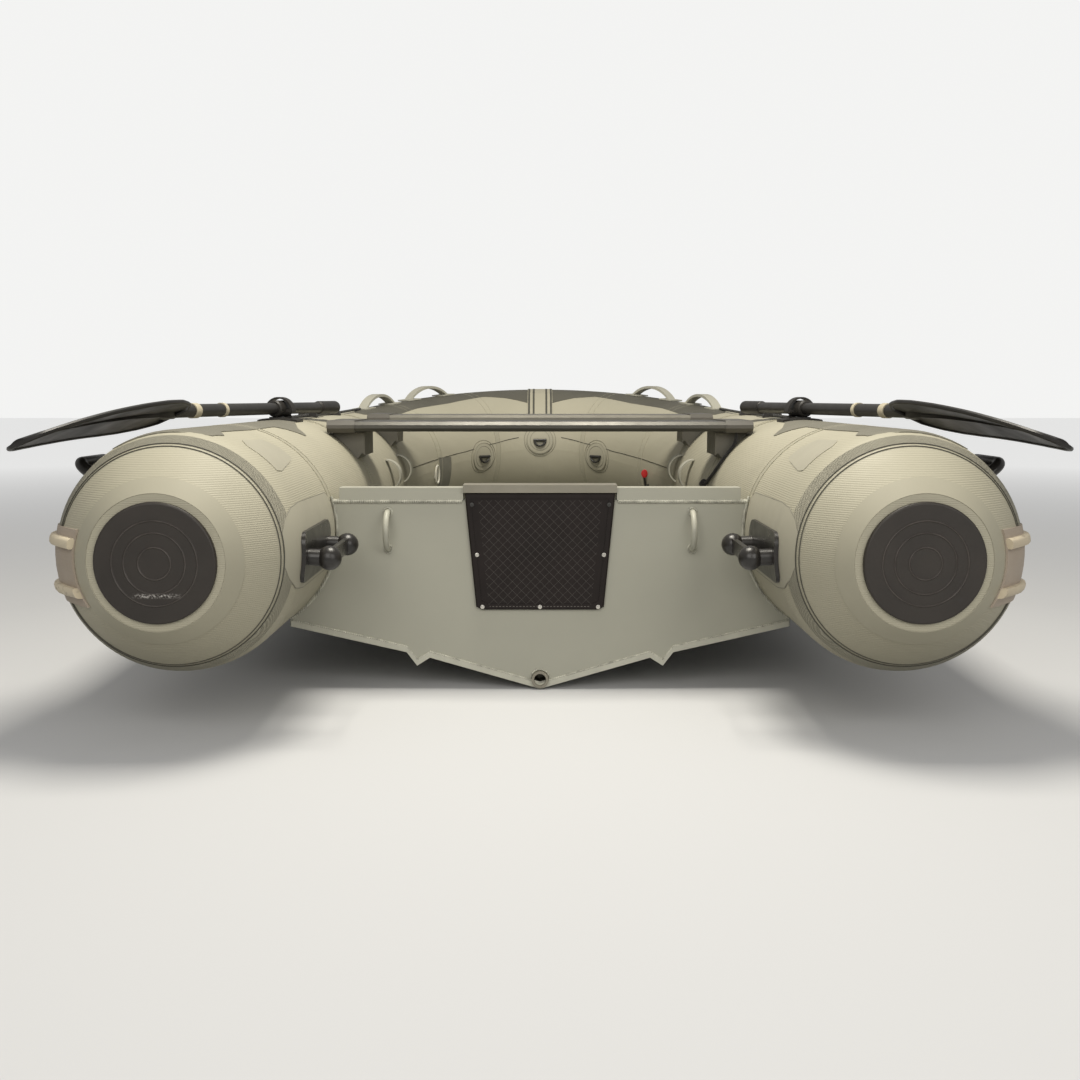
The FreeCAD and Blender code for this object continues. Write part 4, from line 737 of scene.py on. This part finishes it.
# Weld beads on the transom: along its bottom edge, up its sides, under the rails and round the
# feet of the tow eyes. y is how far aft of the plate's face a bead's middle lies.
welds = {
    "y": -0.001,
    "bottom": [(0.0, -0.119), (0.2275, -0.0535), (0.255, -0.0705), (0.2775, -0.042),
               (0.511, 0.0125)],
    "bottomRadius": 0.0026,
    "sideFrom": 237, "sideStep": 5.4, "sideCount": 15, "sideLift": 0.004, "sideRadius": 0.0036,
    "railY": -0.0015, "railZ": 0.26, "railFrom": 0.16, "railTo": 0.424, "railRadius": 0.0045,
    "railRipple": 0.0036,
    "eyeX": 0.312, "eyeMiddle": 0.2, "eyeFeet": [0.156, 0.244], "eyeInward": 0.006,
    "footReach": 0.00828, "footSteps": 16, "footRadius": 0.0026, "footRipple": 0.0034,
}
parts = []
for side in sides.values():
    bottom = [Vector((side * x, welds["y"], z)) for x, z in welds["bottom"]]
    parts.append(beadOf(bottom, welds["bottomRadius"]))
    sideBead = []
    for step in range(welds["sideCount"]):
        angle = math.radians(welds["sideFrom"] - step * welds["sideStep"])
        reach = collar["radius"] + welds["sideLift"]
        sideBead.append(Vector((side * (collar["axisX"] + reach * math.cos(angle)), welds["y"],
                               collar["axisZ"] + reach * math.sin(angle))))
    parts.append(beadOf(sideBead, welds["sideRadius"]))
    rail = [Vector((side * x, welds["railY"], welds["railZ"]))
            for x in (welds["railFrom"], welds["railTo"])]
    parts.append(beadOf(rail, welds["railRadius"], welds["railRipple"]))
    for footZ in welds["eyeFeet"]:
        inward = welds["eyeInward"] if footZ < welds["eyeMiddle"] else -welds["eyeInward"]
        foot = []
        for turn in range(welds["footSteps"] + 1):
            angle = turn / welds["footSteps"] * 2 * math.pi
            foot.append(Vector((side * (welds["eyeX"] + welds["footReach"] * math.cos(angle)),
                                welds["y"],
                                footZ + inward + welds["footReach"] * math.sin(angle))))
        parts.append(beadOf(foot, welds["footRadius"], welds["footRipple"]))
finishPiece(joined(parts), "transom_welds", "weldBead")

# A pale lip runs along the transom's bottom edge, where the hull's plates are welded to it.
lip = {"tall": 0.0115, "proud": 0.0028, "y": -0.0003, "steps": 10,
       "edge": [(0.0, -0.1315), (0.2285, -0.0655), (0.255, -0.0825), (0.2765, -0.054),
                (0.515, 0.0005)]}
edgeSpots = []
for (x0, z0), (x1, z1) in zip(lip["edge"], lip["edge"][1:]):
    edgeSpots += [(x0 + (x1 - x0) * step / lip["steps"], z0 + (z1 - z0) * step / lip["steps"])
                  for step in range(lip["steps"])]
edgeSpots.append(lip["edge"][-1])
parts = []
for side in sides.values():
    def lipPlace(u, v, lift):
        x, z = edgeSpots[round(u * (len(edgeSpots) - 1))]
        return Vector((side * x, lip["y"] - lift, z + v * lip["tall"]))
    parts.append(laidSheet(len(edgeSpots) - 1, 2, lipPlace, lip["proud"]))
finishPiece(joined(parts), "transom_lip", "palePaint")

# A turned flange with its own bead holds the drain pipe.
flange = {"y": -0.0008, "z": -0.111, "outer": 0.0213, "inner": 0.0178}
bpy.ops.mesh.primitive_torus_add(
    location=(0, flange["y"], flange["z"]), rotation=(math.radians(90), 0, 0),
    major_radius=(flange["outer"] + flange["inner"]) / 2,
    minor_radius=(flange["outer"] - flange["inner"]) / 2, major_segments=72, minor_segments=16)
finishPiece(bpy.context.active_object, "drain_flange", "weldBead")
print("welds laid")

# Each oar's blade is a drooping, slightly cupped sheet with a raised rim, a tapering rib on its
# middle and a round neck on the shaft's end. Half widths go from the neck to the tip, and the
# tapers are places along the blade with shares of the bar's radius.
blade = {"root": (0.7505, 0.004), "heading": 12.75, "length": 0.492, "tilt": 22.0,
         "rootZ": 0.438, "drop": -0.004, "curve": 0.041, "cup": 0.005, "thickness": 0.005,
         "halfWidths": [(0.0, 0.034), (0.03, 0.05), (0.08, 0.066), (0.18, 0.08), (0.3, 0.083),
                        (0.45, 0.079), (0.65, 0.07), (0.8, 0.058), (0.92, 0.043),
                        (0.98, 0.029), (1.0, 0.015)],
         "rim": 0.0045, "rimSteps": 40, "rib": 0.0085, "neck": 0.0165,
         "ribTaper": [(0.0, 1.0), (0.1, 1.0), (0.3, 0.85), (0.5, 0.65), (0.7, 0.45),
                      (0.85, 0.3)],
         "neckTaper": [(-0.03, 1.0), (0.0, 1.02), (0.05, 0.95), (0.1, 0.75), (0.14, 0.5)],
         "shaftLift": 0.006, "neckLift": 0.003}


def bladePoint(side, along, across, lift):
    heading, tilt = math.radians(blade["heading"]), math.radians(blade["tilt"])
    share = max(along, 0.0)
    half = blade["halfWidths"][-1][1]
    for (a0, w0), (a1, w1) in zip(blade["halfWidths"], blade["halfWidths"][1:]):
        if a0 <= share <= a1:
            half = w0 + (share - a0) / (a1 - a0) * (w1 - w0)
    out = Vector((math.cos(heading) * math.cos(tilt), math.sin(heading) * math.cos(tilt),
                  -math.sin(tilt)))
    up = Vector((math.cos(heading) * math.sin(tilt), math.sin(heading) * math.sin(tilt),
                 math.cos(tilt)))
    run = blade["length"] * along
    spot = Vector((blade["root"][0] + run * math.sin(heading),
                   blade["root"][1] - run * math.cos(heading),
                   blade["rootZ"] - blade["drop"] * share - blade["curve"] * share * share))
    spot += out * across * half + up * (lift - blade["cup"] * across * across)
    return Vector((spot.x * side, spot.y, spot.z))


for sideName, side in sides.items():
    sheet = laidSheet(48, 16, lambda u, v, lift: bladePoint(
        side, u, 2 * v - 1, lift - blade["thickness"] / 2), blade["thickness"])
    steps = range(blade["rimSteps"] + 1)
    edge = [bladePoint(side, step / blade["rimSteps"], -1, 0) for step in steps]
    edge += [bladePoint(side, step / blade["rimSteps"], 1, 0) for step in reversed(steps)]
    rim = tubeOf(edge, blade["rim"], True)
    rib = taperedBar([bladePoint(side, along, 0, 0) for along, share in blade["ribTaper"]],
                     [blade["rib"] * share for along, share in blade["ribTaper"]])
    neckSpots = [bladePoint(side, along, 0, blade["shaftLift"] if along <= 0
                            else blade["neckLift"]) for along, share in blade["neckTaper"]]
    neck = taperedBar(neckSpots, [blade["neck"] * share for along, share in blade["neckTaper"]])
    shell = finishPiece(joined([sheet, rim, rib, neck]), f"oar_blade_shell_{sideName}",
                        "bladePlastic", f"oar_{sideName}")
    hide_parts(f"oar_blade_{sideName}")
print("blades shaped")

# Pan head screws hold the motor pad: five bright ones and two black ones.
screws = {"radius": 0.0042, "height": 0.0022, "socket": 0.0017, "padFace": -0.009,
          "dome": 0.0005, "socketRim": 0.0002, "socketDepth": 0.0013,
          "bright": [(-0.129, 0.1505), (0.131, 0.1505), (-0.1185, 0.0425), (0.0, 0.0425),
                     (0.1195, 0.0425)],
          "dark": [(-0.139, 0.2535), (0.141, 0.2535)]}


def panScrew(x, z):
    bpy.ops.mesh.primitive_cylinder_add(vertices=24, radius=screws["radius"],
                                        depth=screws["height"], rotation=(math.pi / 2, 0, 0),
                                        location=(x, screws["padFace"]
                                                  - screws["height"] / 2, z))
    piece = bpy.context.active_object
    bpy.ops.object.transform_apply()
    bpy.ops.object.mode_set(mode="EDIT")
    bpy.ops.mesh.select_mode(type="FACE")
    bpy.ops.mesh.select_all(action="DESELECT")
    bpy.ops.object.mode_set(mode="OBJECT")
    for polygon in piece.data.polygons:
        polygon.select = polygon.normal.y < -0.9
    bpy.ops.object.mode_set(mode="EDIT")
    bpy.ops.mesh.inset(thickness=screws["radius"] - screws["socket"], depth=screws["dome"])
    bpy.ops.mesh.inset(thickness=screws["socketRim"])
    bpy.ops.mesh.extrude_region_move(
        TRANSFORM_OT_translate={"value": (0, screws["socketDepth"], 0)})
    bpy.ops.object.mode_set(mode="OBJECT")
    return piece


for label, look, slotName in (("bright", "brightSteel", "bare_aluminium"),
                              ("dark", "blackMetal", "black_metal")):
    heads = [panScrew(x, z) for x, z in screws[label]]
    finishPiece(joined(heads), f"pad_screws_{label}", look)
print("screws set")

# Rope is bound round each lifeline beside the rowlock and at its fittings. Each place is where
# it starts along the tube, how many turns it has and how far they reach.
whipping = {"places": [(0.579, 6, 0.0062), (0.6, 4, 0.0078), (0.842, 5, 0.0062),
                       (0.884, 5, 0.0062), (1.228, 5, 0.0062)],
            "z": 0.4198, "strand": 0.0019, "pitch": 1.9, "step": 0.0006, "growth": 0.0003,
            "lean": 4, "skew": 6}
for sideName, side in sides.items():
    turns = []
    for start, count, reach in whipping["places"]:
        for turn in range(count):
            bpy.ops.mesh.primitive_torus_add(
                location=(side * collar["axisX"],
                          start + turn * whipping["strand"] * whipping["pitch"],
                          whipping["z"] + whipping["step"] * (turn % 2)),
                rotation=(math.radians(90 + whipping["lean"] * (turn % 3 - 1)), 0,
                          math.radians(whipping["skew"] * side)),
                major_radius=reach - whipping["strand"] + whipping["growth"] * (turn % 2),
                minor_radius=whipping["strand"], major_segments=28, minor_segments=8)
            turns.append(bpy.context.active_object)
    finishPiece(joined(turns), f"line_whippings_{sideName}", "blackRope")

# A pale oval eye on the port tube's inner face, on a sewn tab.
eye = {"along": 1.76, "around": 184, "tall": 0.03, "wide": 0.0125, "rod": 0.0034,
       "lift": 0.006, "turns": 40, "step": 0.01}
centre = onCollar(-1, eye["along"], eye["around"], eye["lift"])
outward = (onCollar(-1, eye["along"], eye["around"], 2 * eye["step"])
           - onCollar(-1, eye["along"], eye["around"], 0.0)).normalized()
ahead = (onCollar(-1, eye["along"] + eye["step"], eye["around"], 0.0)
         - onCollar(-1, eye["along"] - eye["step"], eye["around"], 0.0)).normalized()
upward = outward.cross(ahead)
loop = []
for turn in range(eye["turns"]):
    angle = turn * math.pi / (eye["turns"] / 2)
    loop.append(centre + ahead * eye["wide"] * math.cos(angle)
                + upward * eye["tall"] * math.sin(angle))
finishPiece(tubeOf(loop, eye["rod"], True), "oval_eye_port", "paleEnamel")
tab = {"keys": [(1.742, 181, 187), (1.778, 181, 187)], "thickness": 0.0035, "grid": (8, 8)}
finishPiece(patchOn(-1, tab), "oval_eye_tab_port", "paleStrap")

# A small red tag stands on a black stem on the starboard tube's inner face.
tag = {"along": 1.73, "around": 193, "stem": 0.03, "stemRadius": 0.0045, "wide": 0.011,
       "tall": 0.016, "thick": 0.0024, "foot": 0.012, "rise": 0.006, "lean": -0.004,
       "pinch": 0.35, "seat": 0.7}
foot = onCollar(1, tag["along"], tag["around"], 0.0)
lifted = onCollar(1, tag["along"], tag["around"], tag["foot"])
top = lifted + Vector((tag["lean"], tag["lean"], tag["stem"]))
stem = tubeOf([foot, lifted, lifted + Vector((0, 0, tag["rise"])), top], tag["stemRadius"])
finishPiece(stem, "tag_stem_starboard", "blackRubber")
bpy.ops.mesh.primitive_uv_sphere_add(segments=24, ring_count=12, location=(0, 0, 0))
piece = bpy.context.active_object
for vertex in piece.data.vertices:
    pinch = 1.0 - tag["pinch"] * max(0.0, -vertex.co.z)
    vertex.co = (top.x + vertex.co.x * tag["wide"] * pinch, top.y + vertex.co.y * tag["thick"],
                 top.z + tag["tall"] * tag["seat"] + vertex.co.z * tag["tall"])
finishPiece(piece, "red_tag_starboard", "redTag")
print("fittings placed")

# The pale floor lies just under the keel, in a pale room. What the camera sees of both is set
# apart from what lights the boat, and the far floor fades into the walls.
room = {"floorZ": -0.1325, "size": 60.0, "floorColour": (0.6, 0.607, 0.62),
        "bounceColour": (0.3, 0.3, 0.29), "floorRoughness": 0.9, "floorSpecular": 0.1,
        "seenColour": (0.9, 0.9, 0.89, 1), "fadeFrom": 1.8, "fadeTo": 9.0, "fadeStrength": 0.62,
        "lightColour": (1.0, 0.99, 0.97, 1), "lightStrength": 0.36}
bpy.ops.mesh.primitive_plane_add(size=room["size"], location=(0, 0, room["floorZ"]))
floor = bpy.context.active_object
floor.name = "floor"
floorMaterial = bpy.data.materials.new("floor")
floorMaterial.use_nodes = True
tree = floorMaterial.node_tree
shader = tree.nodes["Principled BSDF"]
shader.inputs["Roughness"].default_value = room["floorRoughness"]
shader.inputs["Specular IOR Level"].default_value = room["floorSpecular"]
rays = tree.nodes.new("ShaderNodeLightPath").outputs
direct = maths(tree, "MAXIMUM", rays["Is Camera Ray"],
               maths(tree, "MAXIMUM", rays["Is Glossy Ray"], rays["Is Transmission Ray"]))
tree.links.new(blended(tree, direct, room["bounceColour"], room["floorColour"]),
               shader.inputs["Base Color"])
x, y, z = parted(tree, tree.nodes.new("ShaderNodeTexCoord").outputs["Object"])
fade = spread(tree, reachOf(tree, x, y), room["fadeFrom"], room["fadeTo"], 0.0,
              room["fadeStrength"])
shader.inputs["Emission Color"].default_value = room["seenColour"]
tree.links.new(maths(tree, "MULTIPLY", fade, rays["Is Camera Ray"]),
               shader.inputs["Emission Strength"])
floor.data.materials.append(floorMaterial)

world = bpy.data.worlds.new("studio")
bpy.context.scene.world = world
world.use_nodes = True
tree = world.node_tree
background = tree.nodes["Background"]
background.inputs["Color"].default_value = room["lightColour"]
background.inputs["Strength"].default_value = room["lightStrength"]
seen = tree.nodes.new("ShaderNodeBackground")
seen.inputs["Color"].default_value = room["seenColour"]
chooser = tree.nodes.new("ShaderNodeMixShader")
rays = tree.nodes.new("ShaderNodeLightPath").outputs
tree.links.new(maths(tree, "MAXIMUM", rays["Is Camera Ray"], rays["Is Transmission Ray"]),
               chooser.inputs[0])
tree.links.new(background.outputs[0], chooser.inputs[1])
tree.links.new(seen.outputs[0], chooser.inputs[2])
tree.links.new(chooser.outputs[0], tree.nodes["World Output"].inputs["Surface"])

lamps = {
    "overhead": {"place": (0.0, 0.1, 2.7), "aim": (0, 0.35, 0.2), "size": 1.1, "power": 78.0,
                 "colour": (1.0, 0.95, 0.84)},
    "stern": {"place": (-0.9, -3.6, 2.0), "aim": (0, 0, 0.15), "size": 2.4, "power": 48.0,
              "colour": (1.0, 0.97, 0.91)},
    "sternRight": {"place": (1.9, -3.2, 1.6), "aim": (0, 0, 0.15), "size": 2.2, "power": 36.0,
                   "colour": (1.0, 0.97, 0.92)},
}
for name, lamp in lamps.items():
    heading = Vector(lamp["aim"]) - Vector(lamp["place"])
    bpy.ops.object.light_add(type="AREA", location=lamp["place"],
                             rotation=heading.to_track_quat("-Z", "Y").to_euler())
    light = bpy.context.active_object
    light.name = name
    light.data.size = lamp["size"]
    light.data.energy = lamp["power"]
    light.data.color = lamp["colour"]
bpy.context.scene.view_settings.view_transform = "Standard"
print("room lit")

bpy.context.view_layer.update()
